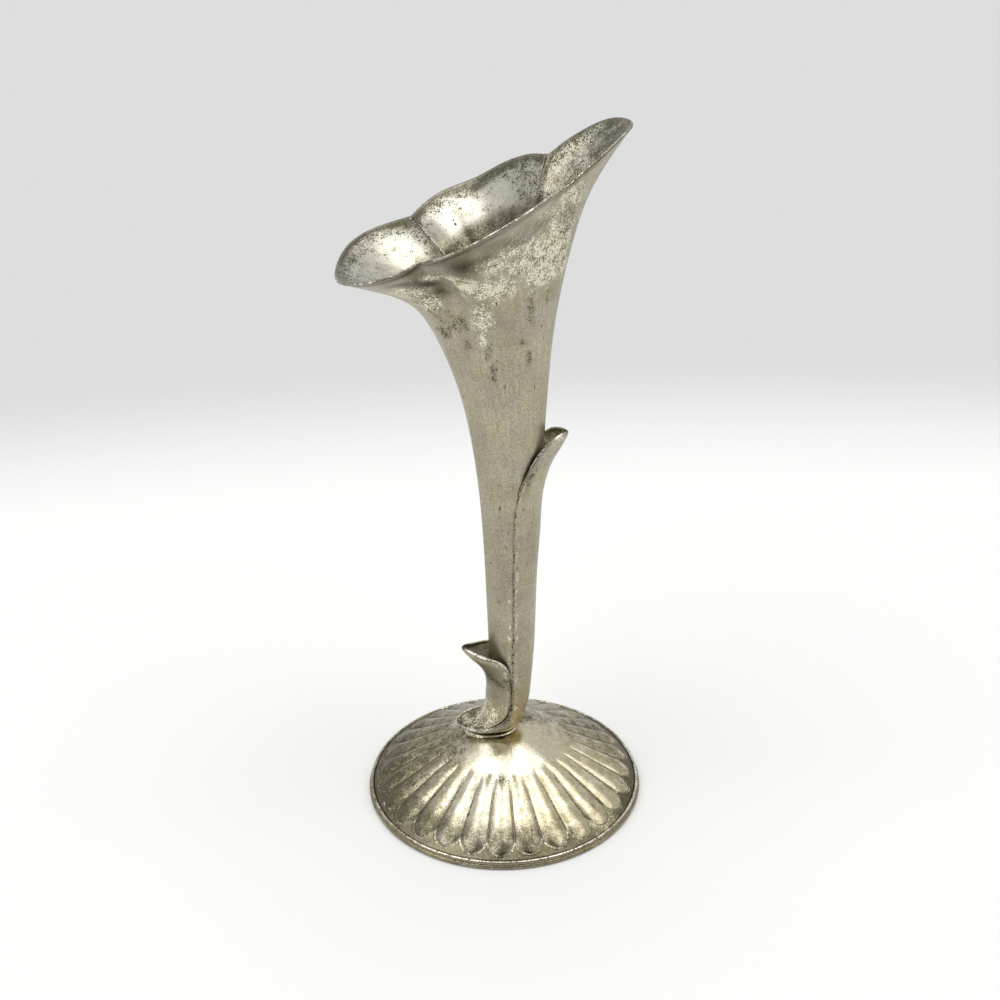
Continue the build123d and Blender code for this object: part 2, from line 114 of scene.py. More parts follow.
# Sheath: ribs from the root's scooped tip, under the stalk and up its right side to the long leaf's tip
SHEATH_RIBS = [
    # edge x, edge half width, edge z, spine x, spine z, thickness of the edge
    (-13.5, 0.3, 21.9, -13.5, 21.6, 0.3),
    (-12.2, 3.2, 21.85, -11.5, 20.7, 0.8),
    (-9.4, 5.4, 22.1, -8.0, 20.2, 0.8),
    (-6.9, 6.1, 22.3, -4.5, 20.1, 0.7),
    (-4.0, 6.3, 22.7, -1.0, 20.1, 0.6),
    (-1.3, 6.3, 24.0, 2.2, 20.3, 0.5),
    (0.75, 6.25, 26.0, 4.2, 21.8, 0.5),
    (1.5, 6.15, 28.6, 5.7, 23.8, 0.45),
    (2.0, 6.1, 31.5, 6.7, 26.6, 0.4),
    (2.3, 6.05, 34.5, 7.5, 29.8, 0.4),
    (2.3, 6.0, 38.5, 8.15, 35.5, 0.4),
    (2.4, 6.08, 45.0, 8.8, 43.0, 0.4),
    (2.6, 6.58, 60.0, 9.55, 60.0, 0.4),
    (2.75, 7.2, 74.0, 10.15, 74.0, 0.4),
    (2.9, 7.78, 85.0, 10.9, 85.0, 0.4),
    (3.8, 8.33, 95.6, 11.7, 95.6, 0.45),
    (4.9, 8.42, 99.4, 12.3, 98.6, 0.5),
    (6.7, 8.13, 103.2, 12.9, 100.8, 0.6),
    (9.2, 6.8, 106.9, 13.8, 103.2, 0.8),
    (12.3, 5.1, 109.6, 15.0, 105.4, 1.0),
    (14.6, 4.0, 111.1, 16.2, 107.2, 1.0),
    (16.6, 2.4, 111.7, 17.3, 109.1, 0.9),
    (17.7, 1.2, 111.75, 18.0, 110.4, 0.6),
    (18.3, 0.3, 111.55, 18.35, 111.2, 0.2),
]
SHEATH_SPLIT = 8

# Lower leaf: ribs from its tail in the root's scoop, up the stalk's left side to its own tip
LOWER_RIBS = [
    # edge x, edge half width, edge z, spine x, spine z, thickness of the edge
    (-12.5, 2.2, 21.85, -12.1, 21.6, 0.3),
    (-9.5, 4.9, 22.1, -9.0, 21.3, 0.3),
    (-6.7, 5.6, 22.4, -7.0, 21.9, 0.3),
    (-3.9, 5.8, 23.0, -6.1, 23.0, 0.3),
    (-1.2, 5.9, 24.6, -5.6, 25.0, 0.3),
    (0.6, 5.9, 26.8, -5.3, 27.2, 0.3),
    (1.4, 5.9, 29.2, -5.1, 29.6, 0.3),
    (1.8, 5.9, 32.0, -4.95, 32.0, 0.3),
    (2.0, 5.9, 34.5, -4.8, 34.0, 0.35),
    (1.9, 5.95, 37.0, -4.9, 36.2, 0.45),
    (1.6, 6.1, 40.0, -5.4, 38.6, 0.6),
    (0.4, 6.25, 43.0, -6.6, 40.9, 0.8),
    (-1.8, 6.1, 44.7, -7.7, 42.3, 1.0),
    (-4.5, 5.4, 45.5, -8.7, 43.3, 1.0),
    (-7.55, 3.7, 46.1, -9.9, 44.5, 1.0),
    (-9.8, 2.2, 46.6, -10.8, 45.4, 0.8),
    (-11.0, 1.1, 46.85, -11.3, 46.1, 0.5),
    (-11.5, 0.3, 46.8, -11.55, 46.6, 0.2),
]
LEAF_SHEET = 0.8
SCOOP_DEPTH = 1.6
HULL_FULLNESS = 0.5
HULL_FADE = (21.0, 30.0)
LEAF_GIRTH = 8.0
ROOT_SINK = 0.5
RIB_STEPS = 40
RIB_SPACING = 0.7

# Foot: a pressed dome with convex flutes whose rounded ends stand on a narrow brim
SHEET = 0.8
SEAT_RADIUS = 7.0
CROWN = [(SEAT_RADIUS, DOME_TOP), (11.5, 19.2), (15.6, 15.48), (20.0, 12.9)]
SLOPE_END = (35.5, 3.8)
BRIM_TOP = 2.2
BOLT_HOLE = 1.75
FLUTES = 28
FLUTE_PITCH = 2 * math.pi / FLUTES
FLUTE_START = 19.0
FLUTE_END = 33.6
FLUTE_START_RISE = 0.5
FLUTE_END_RISE = 1.05
FLUTE_GROOVE = 0.15
FLUTE_LEAD = (2.5, 1.0)
FLUTE_SWELL = 0.85
FLUTE_STEPS = 22
GROOVE_DEPTH = 0.12
GROOVE_WIDTH = 0.03
GROOVE_LEAD = 3.0
END_LINE_HEIGHT = 0.18
END_LINE_SHARE = 1.09
END_LINE_WIDTH = 0.04
END_LINE_FADE = (32.0, 34.5)
CROWN_STEPS = 40
RING_STOPS = (BOLT_HOLE, FLUTE_START - 3, FLUTE_END, 36.6, 37.8, BRIM_RADIUS)
RING_STEPS = (13, 33, 13, 12, 3)
UNDER_STRIDE = 3
FOOT_GIRTH = 40.0
BRIGHT_WAY = math.radians(-70)
GLINT_MARKS = [
    # x, y, half width, half height, strength: bare, smoother patches on the crown's front where its
    # highlights fall, partly wear and partly painted highlight
    (-5.6, -9.9, 2.2, 1.3, 1.0),
    (0.5, -15.6, 6.5, 1.7, 1.1),
    (3.4, -11.4, 2.6, 1.5, 1.1),
    (8.7, -12.6, 2.0, 2.8, 1.0),
]
CROWN_STAINS = [(-3.0, -18.6, 4.2, 1.2, 0.62)]
BRIM_PATCHES = [(25.0, -25.5, 5.0, 4.0, 1.0)]

# Rim: two round wires one above the other under the brim's edge
WIRE_RADIUS = 0.7
WIRE_ARC = (-90, 68)
WIRE_LINE = (0.85, 0.25)
BEAD_RADIUS = 0.45
BEAD_ARC = (-20, 195)
BEAD_INSET = 0.92
BEAD_PROUD = 0.05
BEAD_HEEL = [(1.4, 1.3), (1.8, 1.25)]  # in from the foot's edge, up from the floor
RIM_LAND = 3.0
RIM_LAND_HEIGHT = 1.25
RIM_SOLE = (0.8, 0.4)
RIM_GROOVE = (1.42, 0.14)
ARC_STEPS = 16
RIM_SEGMENTS = 288

# Collar: a flattened ring of solder
COLLAR_BORE = 2.0
COLLAR_SQUEEZE = 0.74
COLLAR_SEGMENTS = 96
COLLAR_PROFILE = [
    # out from the ring's edge, down from its top
    (-1.2, 0.3), (-0.6, 0.33), (-0.25, 0.46), (-0.05, 0.7), (0.1, 0.9), (0.4, 1.0),
]
COLLAR_HEM = 5
COLLAR_HEM_RISE = 0.2
COLLAR_SINK = 0.05

# Camera: where the photograph was taken from
CAMERA_DISTANCE = 411.2
CAMERA_HEIGHT_ANGLE = math.radians(37.6)
CAMERA_TURN = math.radians(4.4)
CAMERA_LIFT = 0.2038
CAMERA_ROLL = 0.0155
SENSOR = 36.0
LENS = 48.6

# Light: a bright tent that is dim in front of the vase, three soft lamps and an even backdrop
TENT_STRENGTH = 0.68
FRONT_STRENGTH = 0.1
FRONT_WAY = (0.0, -0.82, 0.57)
FRONT_SQUEEZE = (1.1, 1.0, 1.0)
FRONT_REACH = (0.58, 0.88)
LAMP_ANGLE = math.radians(50)
LAMP_STRENGTHS = (0.74, 0.6, 0.67)
LAMP_WAYS = [(-0.5, -0.3, 0.8), (0.5, -0.3, 0.8), (0.0, 0.06, 1.0)]
BACKDROP_STRENGTH = 0.72

# Floor: white round a place in front of the vase, and grey beyond
FLOOR_HALF = 6000.0
FADE_CENTRE = (0.0, -1000.0, 0.0)
FADE_REACH = (1180.0, 1370.0)


# Curves and grids


def spline(knots, values, at):
    """A natural cubic spline through values at knots, read at other places."""
    gap = np.diff(knots)
    slope = np.diff(values, axis=0) / gap[:, None]
    system = np.eye(len(knots))
    wanted = np.zeros_like(values)
    for i in range(1, len(knots) - 1):
        system[i, i - 1:i + 2] = gap[i - 1], 2 * (gap[i - 1] + gap[i]), gap[i]
        wanted[i] = 6 * (slope[i] - slope[i - 1])
    bend = np.linalg.solve(system, wanted)
    k = np.clip(np.searchsorted(knots, at, side="right") - 1, 0, len(gap) - 1)
    a = ((knots[k + 1] - at) / gap[k])[:, None]
    b = ((at - knots[k]) / gap[k])[:, None]
    curve = ((a**3 - a) * bend[k] + (b**3 - b) * bend[k + 1]) * (gap[k] ** 2 / 6)[:, None]
    return a * values[k] + b * values[k + 1] + curve


def chord_knots(points):
    """Running distances along a row of points."""
    steps = np.linalg.norm(np.diff(points, axis=0), axis=-1)
    return np.concatenate([[0], np.cumsum(steps)])


def cubic(p, s):
    """A cubic Bezier curve's points at shares s of its way."""
    p = np.array(p, float)
    s = s[:, None]
    return (1 - s) ** 3 * p[0] + 3 * (1 - s) ** 2 * s * p[1] + 3 * (1 - s) * s**2 * p[2] + s**3 * p[3]


def unit(vectors):
    """Vectors cut or stretched to a length of one."""
    return vectors / np.maximum(np.linalg.norm(vectors, axis=-1, keepdims=True), 1e-9)


def smooth(value, low, high):
    """0 below low, 1 above high, and a soft step between them."""
    t = np.clip((value - low) / (high - low), 0, 1)
    return t * t * (3 - 2 * t)


def fall(value, low, high):
    """1 below low, 0 above high, and a soft step between them."""
    return 1 - smooth(value, low, high)


def bump(value, centre, width):
    """A soft hump of height one round a centre."""
    return np.exp(-(((value - centre) / width) ** 2))


def soft_marks(across, along, marks):
    """The strongest of some soft marks, each (across, along, half width, half height, strength)."""
    total = np.zeros(across.shape)
    for x, y, wide, high, strength in marks:
        away = np.hypot((across - x) / wide, (along - y) / high)
        total = np.maximum(total, strength * bump(away, 0, 1))
    return total


def streak_flow(girth, turn, along):
    """Places on a tube of some girth, for streaks that run along a piece."""
    return np.stack([girth * np.cos(turn) + 0 * along, girth * np.sin(turn) + 0 * along, along], -1)


def grid_faces(rows, columns, wrap_rows, wrap_columns):
    """Quads over a grid of points that are kept row by row."""
    r, c = np.meshgrid(
        np.arange(rows if wrap_rows else rows - 1),
        np.arange(columns if wrap_columns else columns - 1),
        indexing="ij",
    )
    r2 = (r + 1) % rows
    c2 = (c + 1) % columns
    corners = [r * columns + c, r * columns + c2, r2 * columns + c2, r2 * columns + c]
    return np.stack(corners, -1).reshape(-1, 4).tolist()


def make_piece(name, node, points, faces, traits, finish):
    """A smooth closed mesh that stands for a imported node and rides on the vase."""
    mesh = bpy.data.meshes.new(name)
    mesh.from_pydata((points.reshape(-1, 3) * MM).tolist(), [], faces)
    shape = bmesh.new()
    shape.from_mesh(mesh)
    bmesh.ops.recalc_face_normals(shape, faces=shape.faces)
    shape.to_mesh(mesh)
    shape.free()
    mesh.shade_smooth()
    for trait, values in traits.items():
        if values.ndim == points.ndim:
            layer = mesh.attributes.new(trait, "FLOAT_VECTOR", "POINT")
            layer.data.foreach_set("vector", (values * MM).astype(np.float32).ravel())
        else:
            layer = mesh.attributes.new(trait, "FLOAT", "POINT")
            values = np.broadcast_to(values, points.shape[:-1])
            layer.data.foreach_set("value", values.astype(np.float32).ravel())
    piece = bpy.data.objects.new(name, mesh)
    bpy.context.scene.collection.objects.link(piece)
    mesh.materials.append(finish)
    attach(piece, "root")
    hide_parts(node)


# Finishes


class Finish:
    """One procedural material, put together node by node."""

    def __init__(self, name):
        self.material = bpy.data.materials.new(name)
        self.material.use_nodes = True
        self.nodes = self.material.node_tree.nodes
        self.links = self.material.node_tree.links
        self.shader = self.nodes["Principled BSDF"]

    def feed(self, socket, value):
        """Sets a socket, or links it where the value is another node's output."""
        if isinstance(value, bpy.types.NodeSocket):
            self.links.new(value, socket)
        else:
            socket.default_value = value

    def trait(self, name, output="Fac"):
        """A value that the mesh carries at its points."""
        node = self.nodes.new("ShaderNodeAttribute")
        node.attribute_name = name
        return node.outputs[output]

    def place(self):
        """The place on the object."""
        return self.nodes.new("ShaderNodeTexCoord").outputs["Object"]

    def noise(self, vector, grain, stretch=(1, 1, 1), detail=4, roughness=0.6, shift=0):
        """Cloudy noise from 0 to 1 with a grain in millimetres."""
        mapping = self.nodes.new("ShaderNodeMapping")
        self.feed(mapping.inputs["Vector"], vector)
        mapping.inputs["Scale"].default_value = stretch
        mapping.inputs["Location"].default_value = (shift, shift, shift)
        node = self.nodes.new("ShaderNodeTexNoise")
        self.feed(node.inputs["Vector"], mapping.outputs["Vector"])
        node.inputs["Scale"].default_value = 1 / (grain * MM)
        node.inputs["Detail"].default_value = detail
        node.inputs["Roughness"].default_value = roughness
        return node.outputs["Fac"]

    def math(self, operation, *values):
        """A sum, product or the like of values."""
        node = self.nodes.new("ShaderNodeMath")
        node.operation = operation
        for socket, value in zip(node.inputs, values):
            self.feed(socket, value)
        return node.outputs[0]

    def step(self, value, low, high, to_low=0.0, to_high=1.0):
        """A soft step from one level to another between low and high."""
        node = self.nodes.new("ShaderNodeMapRange")
        node.interpolation_type = "SMOOTHSTEP"
        sockets = ("Value", "From Min", "From Max", "To Min", "To Max")
        for socket, number in zip(sockets, (value, low, high, to_low, to_high)):
            self.feed(node.inputs[socket], number)
        return node.outputs["Result"]

    def level(self, noise, spread=0.22):
        """A noise stretched so that its values are spread from 0 to 1."""
        return self.step(noise, 0.5 - spread, 0.5 + spread)

    def ragged(self, mask, level, softness):
        """Torn patches that cover about as much of the surface as a mask says."""
        return self.step(self.math("ADD", mask, level), 1.0, 1 + 2 * softness)

    def blend(self, amount, under, over, kind="MIX"):
        """One colour laid over another."""
        node = self.nodes.new("ShaderNodeMix")
        node.data_type = "RGBA"
        node.blend_type = kind
        self.feed(node.inputs[0], amount)
        self.feed(node.inputs[6], under)
        self.feed(node.inputs[7], over)
        return node.outputs[2]

    def bump(self, height, strength, distance):
        """Small unevenness, a distance in millimetres deep."""
        node = self.nodes.new("ShaderNodeBump")
        node.inputs["Strength"].default_value = strength
        node.inputs["Distance"].default_value = distance * MM
        self.feed(node.inputs["Height"], height)
        self.links.new(node.outputs["Normal"], self.shader.inputs["Normal"])

    def surface(self, colour, metallic, roughness):
        """The shader's main inputs."""
        self.feed(self.shader.inputs["Base Color"], colour)
        self.feed(self.shader.inputs["Metallic"], metallic)
        self.feed(self.shader.inputs["Roughness"], roughness)


def tint(red, green, blue):
    """A colour for a node socket."""
    return (red, green, blue, 1.0)


SILVER = tint(0.88, 0.85, 0.74)
CREAM = tint(0.95, 0.91, 0.71)
GOLD = tint(1.0, 0.9, 0.57)
OLIVE = tint(0.105, 0.093, 0.052)
TARNISH_AND_SHADE = tint(0.08, 0.073, 0.043)
BROWN = tint(0.1, 0.078, 0.045)
GRIME_AND_SHADE = tint(0.04, 0.033, 0.019)
GRAIN = tint(0.6, 0.585, 0.55)
YELLOWED = tint(1.0, 0.985, 0.86)
GREYED = tint(1.0, 0.968, 0.965)
FLOOR_NEAR = tint(0.93, 0.93, 0.915)
FLOOR_FAR = tint(0.665, 0.67, 0.66)
TENT_COLOUR = tint(0.985, 0.99, 1.0)


def plate_finish(name, light, dark, roughness, dents):
    """Worn silver plate: a satin tarnish, with bare silver, dried polish, olive and grime on it; its dark
    tarnish and grime layers also carry painted shade, and its bright layer painted highlights.
    """
    finish = Finish(name)
    place = finish.place()
    flow = finish.trait("flow", "Vector")
    cloud = finish.level(finish.noise(place, grain=14, detail=3))
    patch = finish.noise(place, grain=2.6, detail=5, roughness=0.65)
    grit = finish.noise(place, grain=0.42, detail=3, roughness=0.6)
    hue = finish.level(finish.noise(place, grain=9, detail=2, shift=2.1), spread=0.15)
    streak = finish.level(finish.noise(flow, grain=0.6, stretch=(1, 1, 0.05), detail=4))
    fleck = finish.noise(flow, grain=0.8, stretch=(1, 1, 0.3), detail=3, shift=1.3)
    torn = finish.math("MULTIPLY_ADD", grit, 0.62, finish.math("MULTIPLY", patch, 0.38))
    torn = finish.level(torn, spread=0.15)
    rest = finish.math("SUBTRACT", 1.0, torn)
    grain = finish.level(grit)

    colour = finish.blend(cloud, light, dark)
    colour = finish.blend(finish.math("MULTIPLY", streak, 0.6), colour, dark)
    colour = finish.blend(hue, colour, YELLOWED, "MULTIPLY")
    colour = finish.blend(finish.math("SUBTRACT", 1.0, hue), colour, GREYED, "MULTIPLY")
    clean = finish.ragged(finish.trait("clean"), torn, 0.16)
    colour = finish.blend(clean, colour, SILVER)
    colour = finish.blend(finish.trait("gold"), colour, GOLD, "MULTIPLY")
    colour = finish.blend(grain, colour, GRAIN, "MULTIPLY")
    cream = finish.ragged(finish.trait("cream"), torn, 0.12)
    colour = finish.blend(cream, colour, CREAM)
    # Dark tarnish, which also carries painted shade and dark painted reflections
    tarnish_and_shade = finish.math("MULTIPLY", finish.trait("tarnish_and_shade"), finish.math("MULTIPLY_ADD", rest, 0.6, 0.65))
    colour = finish.blend(tarnish_and_shade, colour, TARNISH_AND_SHADE)
    olive = finish.ragged(finish.trait("olive"), rest, 0.14)
    colour = finish.blend(olive, colour, OLIVE)
    dots = finish.step(finish.math("MULTIPLY_ADD", patch, 0.4, fleck), 0.88, 0.92)
    colour = finish.blend(dots, colour, BROWN)
    # Grime, which also carries painted shade just inside the trumpet's lip and on the lip's sides
    grime_and_shade = finish.ragged(finish.trait("grime_and_shade"), torn, 0.15)
    colour = finish.blend(grime_and_shade, colour, GRIME_AND_SHADE)
    # Bright bare silver: painted highlights along the lip, fold ridges, leaf rims, flute end lines and rim,
    # and the collar's and brim patch's own brightness
    bright = finish.ragged(finish.trait("bright"), torn, 0.2)
    colour = finish.blend(bright, colour, SILVER)

    dull = finish.math("MAXIMUM", finish.math("MAXIMUM", olive, grime_and_shade), dots)
    shine = finish.math("MAXIMUM", clean, bright)
    rough = finish.math("MULTIPLY_ADD", grain, 0.1, roughness - 0.05)
    rough = finish.math("MULTIPLY_ADD", cream, 0.12, rough)
    rough = finish.math("MULTIPLY_ADD", shine, -0.18, rough)
    metal = finish.math("MULTIPLY_ADD", dull, -0.3, finish.math("MULTIPLY_ADD", cream, -0.7, 1.0))
    finish.surface(colour, metal, rough)
    relief = finish.math("MULTIPLY_ADD", patch, 0.8, finish.math("MULTIPLY", grain, 0.12))
    relief = finish.math("MULTIPLY_ADD", dull, -0.15, relief)
    relief = finish.math("MULTIPLY_ADD", finish.noise(place, grain=7, detail=1), dents, relief)
    finish.bump(relief, strength=0.35, distance=0.25)
    return finish.material


def plain_metal(name, light, dark, grain):
    """Bare turned metal, dulled in patches."""
    finish = Finish(name)
    place = finish.place()
    cloud = finish.noise(place, grain=2.5, detail=6, roughness=0.7)
    rings = finish.noise(place, grain, stretch=(1, 1, 6), detail=3)
    colour = finish.blend(finish.step(cloud, 0.35, 0.65), light, dark)
    finish.surface(colour, 0.95, finish.math("MULTIPLY_ADD", cloud, 0.3, 0.25))
    finish.bump(rings, strength=0.2, distance=0.05)
    return finish.material


# Trumpet


def open_up(bloom, closed, opened):
    """A value between those of a round section and of the open mouth."""
    return closed + bloom * (opened - closed)


def lobed_section(row):
    """One section's points: four lobes that meet in notches, from the front right notch round to it."""
    left_x, left_z, right_x, right_z, bloom, left_out, left_wide, right_out, right_wide = row
    # A cubic curve's middle lies at a quarter of its end plus three quarters of its handle
    left_reach = -(4 - left_out) / 3
    right_reach = (4 - right_out) / 3
    handle_x, handle_y = CIRCLE_HANDLE
    left_round = open_up(bloom, handle_x, LEFT_END_ROUND)
    right_round = open_up(bloom, handle_x, RIGHT_END_ROUND)
    near_x, near_y = open_up(bloom, handle_x, SIDE_NEAR[0]), open_up(bloom, handle_y, SIDE_NEAR[1])
    far_x, far_y = open_up(bloom, -handle_x, SIDE_FAR[0]), open_up(bloom, handle_y, SIDE_FAR[1])
    right_back, right_front = (right_out, right_wide), (right_out, -right_wide)
    left_back, left_front = (-left_out, left_wide), (-left_out, -left_wide)
    lobes = [
        [right_front, (right_reach, -right_round), (right_reach, right_round), right_back],
        [right_back, (near_x, near_y), (far_x, far_y), left_back],
        [left_back, (left_reach, left_round), (left_reach, -left_round), left_front],
        [left_front, (far_x, -far_y), (near_x, -near_y), right_front],
    ]
    way = (1 - np.cos(np.linspace(0, math.pi, LOBE_STEPS, endpoint=False))) / 2
    flat = np.concatenate([cubic(lobe, way) for lobe in lobes])
    run = np.array([right_x - left_x, right_z - left_z])
    half = np.linalg.norm(run) / 2
    along = unit(run)
    lift = bloom**2 * (lip_rise(way) - MOUTH_SAG * (1 - flat[:, 0] ** 2))
    x = (left_x + right_x) / 2 + flat[:, 0] * half * along[0] - lift * along[1]
    z = (left_z + right_z) / 2 + flat[:, 0] * half * along[1] + lift * along[0]
    return np.stack([x, flat[:, 1] * half, z], -1)


def lip_rise(way):
    """How far the lip's lobes rise, and dip at their notches and at the back, along the way of each."""
    ends = (np.sin(2 * math.pi * way) ** 2, np.sin(math.pi * way))
    rises = [LOBE_RISE[k] * ends[k % 2] for k in range(4)]
    rises[0] -= NOTCH_DIP * (bump(way, 0, END_NOTCH_WIDTH) + bump(way, 1, END_NOTCH_WIDTH))
    rises[1] -= NOTCH_DIP * bump(way, 0, SIDE_NOTCH_WIDTH)
    rises[1] -= BACK_DIP * bump(way, BACK_DIP_PLACE, BACK_DIP_WIDTH)
    rises[3] -= NOTCH_DIP * bump(way, 1, SIDE_NOTCH_WIDTH)
    return np.concatenate(rises)


def trumpet_wall():
    """The trumpet's outside, as rows of points from the stalk's bottom to just below the lip, and the lip."""
    sections = np.array([lobed_section(row) for row in TRUMPET_SECTIONS])
    knots = chord_knots(sections.mean(1))
    rows = np.linspace(0, knots[-1] - LIP_MARGIN, round(knots[-1] / TRUMPET_STEP))
    at = np.append(rows, knots[-1])
    wall = spline(knots, sections.reshape(len(knots), -1), at)
    blooms = np.interp(at, knots, [row[4] for row in TRUMPET_SECTIONS])
    return wall.reshape(len(at), -1, 3), blooms


def trumpet():
    """The tube and its flared mouth: a sheet with a rolled lip and folds that run down from the notches."""
    wall, blooms = trumpet_wall()
    around = np.roll(wall, -1, 1) - np.roll(wall, 1, 1)
    up = unit(np.gradient(wall, axis=0))
    out = unit(np.cross(around, up))
    depth = np.flip(np.cumsum(np.flip(np.linalg.norm(np.diff(wall, axis=0), axis=-1), 0), 0), 0)
    depth = np.concatenate([depth, np.zeros((1, wall.shape[1]))])
    lip = [wall[-1] + a * out[-1] + b * up[-1] for a, b in LIP_BEAD]
    sheet = LIP_WALL + (TRUMPET_WALL - LIP_WALL) * smooth(depth, 0, LIP_TAPER)
    notch = slice(None, None, LOBE_STEPS)
    sheet[:, notch] /= np.maximum(np.sum(out * np.roll(out, 1, 1), -1)[:, notch], MITRE_LIMIT)
    inside = np.flip(wall[:-1] - sheet[:-1, :, None] * out[:-1], 0)
    points = np.concatenate([soften_folds(wall, depth)[:-1], lip, inside])

    bead_rows = len(LIP_BEAD)
    depths = np.concatenate([depth[:-1], np.zeros((bead_rows, wall.shape[1])), np.flip(depth[:-1], 0)])
    bloom = np.concatenate([blooms[:-1], np.ones(bead_rows), np.flip(blooms[:-1])])[:, None]
    rows = len(wall) - 1
    outer = np.concatenate([np.ones(rows), np.full(bead_rows, 0.5), np.zeros(rows)])[:, None]
    return points, depths, bloom, outer


def soften_folds(wall, depth):
    """The outside with its folds rounded: each becomes a parabola between points some way to both sides."""
    soft = wall.copy()
    near = fold_distance(wall)
    columns = wall.shape[1]
    for row in range(len(wall)):
        for notch in range(0, columns, LOBE_STEPS):
            reach = FOLD_ROUND * smooth(depth[row, notch], *FOLD_FADE) + FOLD_LEAST
            steps = (np.arange(columns) - notch + columns // 2) % columns - columns // 2
            close = (near[row] < reach) & (np.abs(steps) < LOBE_STEPS // 2)
            left = wall[row, (notch - np.count_nonzero(close & (steps < 0)) - 1) % columns]
            right = wall[row, (notch + np.count_nonzero(close & (steps > 0)) + 1) % columns]
            t = (0.5 + 0.5 * np.sign(steps) * near[row] / reach)[:, None]
            curve = (1 - t) ** 2 * left + 2 * t * (1 - t) * wall[row, notch] + t**2 * right
            soft[row] = np.where(close[:, None], curve, soft[row])
    return soft


def fold_distance(points):
    """How far each point of the trumpet is, round its section, from the nearest notch."""
    lobes = points.reshape(len(points), 4, LOBE_STEPS, 3)
    ends = np.roll(lobes[:, :, :1], -1, 1)
    loop = np.concatenate([lobes, ends], 2)
    steps = np.linalg.norm(np.diff(loop, axis=2), axis=-1)
    run = np.concatenate([np.zeros(steps.shape[:2] + (1,)), np.cumsum(steps, 2)], 2)
    near = np.minimum(run, run[:, :, -1:] - run)[:, :, :-1]
    return near.reshape(len(points), -1)


# Marks on the trumpet's outside, fainter behind, each (x, z, half width, half height, strength)
CREAM_MARKS = [
    (8.0, 163.5, 13.0, 8.0, 0.6),
    (17.5, 177.0, 4.0, 5.0, 0.7),
    (14.5, 169.5, 5.0, 7.0, 0.7),
    (11.5, 163.0, 6.0, 6.0, 0.72),
    (10.0, 158.0, 5.5, 4.0, 0.78),
    (3.5, 167.0, 6.0, 2.6, 0.7),
    (11.5, 173.5, 4.0, 2.0, 0.62),
    (-2.0, 163.5, 5.0, 3.0, 0.66),
    (-2.5, 157.0, 6.0, 3.6, 0.76),
    (-8.0, 157.5, 4.0, 3.0, 0.78),
    (-12.5, 160.0, 4.5, 1.4, 0.72),
    (-17.5, 159.6, 4.0, 1.2, 0.66),
    (-22.0, 155.2, 5.0, 2.4, 0.8),
    (-18.0, 151.5, 4.0, 3.0, 0.72),
    (-4.6, 149.0, 3.2, 6.0, 0.66),
    (-4.7, 143.6, 1.3, 3.4, 0.68),
    (15.0, 161.0, 3.0, 6.0, 0.62),
]
OLIVE_MARKS = [
    (-14.5, 149.4, 3.4, 2.4, 0.52),
    (-11.0, 146.5, 4.2, 3.2, 0.62),
    (-13.5, 143.2, 2.4, 2.4, 0.62),
    (-8.3, 139.5, 1.2, 3.4, 0.55),
    (-3.2, 139.5, 1.3, 3.6, 0.72),
    (-2.2, 133.5, 1.1, 3.6, 0.7),
    (7.3, 151.5, 2.0, 3.4, 0.66),
    (7.2, 146.5, 1.1, 2.6, 0.72),
    (11.5, 152.5, 1.0, 3.4, 0.6),
    (5.3, 141.5, 1.2, 1.6, 0.58),
    (6.8, 137.0, 1.0, 3.0, 0.62),
    (7.6, 103.5, 2.2, 3.4, 0.55),
]
# Dark marks: tarnish, and those just under the lip also painted shade for the lip's dark reflection
TARNISH_AND_SHADE_MARKS = [
    (-16.5, 166.0, 5.0, 1.8, 0.8),
    (-9.5, 164.2, 5.0, 2.8, 0.95),
    (-4.0, 166.0, 4.0, 2.0, 0.7),
    (-23.0, 158.6, 5.0, 0.9, 0.8),
    (-17.5, 157.2, 4.0, 1.2, 0.95),
    (-14.0, 154.7, 2.8, 1.7, 0.95),
    (16.0, 171.5, 2.2, 3.0, 0.9),
    (1.5, 169.2, 8.0, 1.8, 0.68),
    (9.0, 172.0, 5.0, 1.8, 0.62),
]


# Places of the tarnish, painted shade and painted highlights on the trumpet: depths below the lip, distances
# from a fold, and places in x and z
CREASE_WIDTH = 0.3
# Painted highlights at this distance beside the creases inside
RIDGE_PLACE = 0.6
RIDGE_WIDTH = 0.25
BAND_DEPTH = 1.8
BAND_SWELLS = [(-2, 8, 3.0), (-21, 5, 2.4)]  # x, half width and added depth
SHADE_DEPTH = 1.1
# Below a slanted line at this height the side lobes get a dark painted reflection inside
BRINK_HEIGHT = 165.2
BRINK_SLOPE = 0.55
# Painted shade beside the folds inside the left and right lobes
LEFT_FOLD_REACH = (3.0, 5.5)
LEFT_FOLD_DEPTH = (18, 26)
RIGHT_FOLD_REACH = (1.6, 2.8)
SIDE_RIGHT = (2, 9)
TIP_REACH = (23.5, 27.0)
WIPE_START = (13.5, 174.0)
WIPE_WAY = (0.75, 0.66)
WIPE_WIDTH = 1.8
BARE_DEPTH = (14, 30)
GOLD_DEPTH = (11, 24)
# Rows of the lip's top that get a painted highlight
BEAD_ROWS = 1.5
# Depth of the band below the lip outside: tarnish and painted shade
HEM_DEPTH = 1.5
HEM_DEEPER = 1.3
SEAM_WIDTH = 0.4
SEAM_TOP = (98, 104)


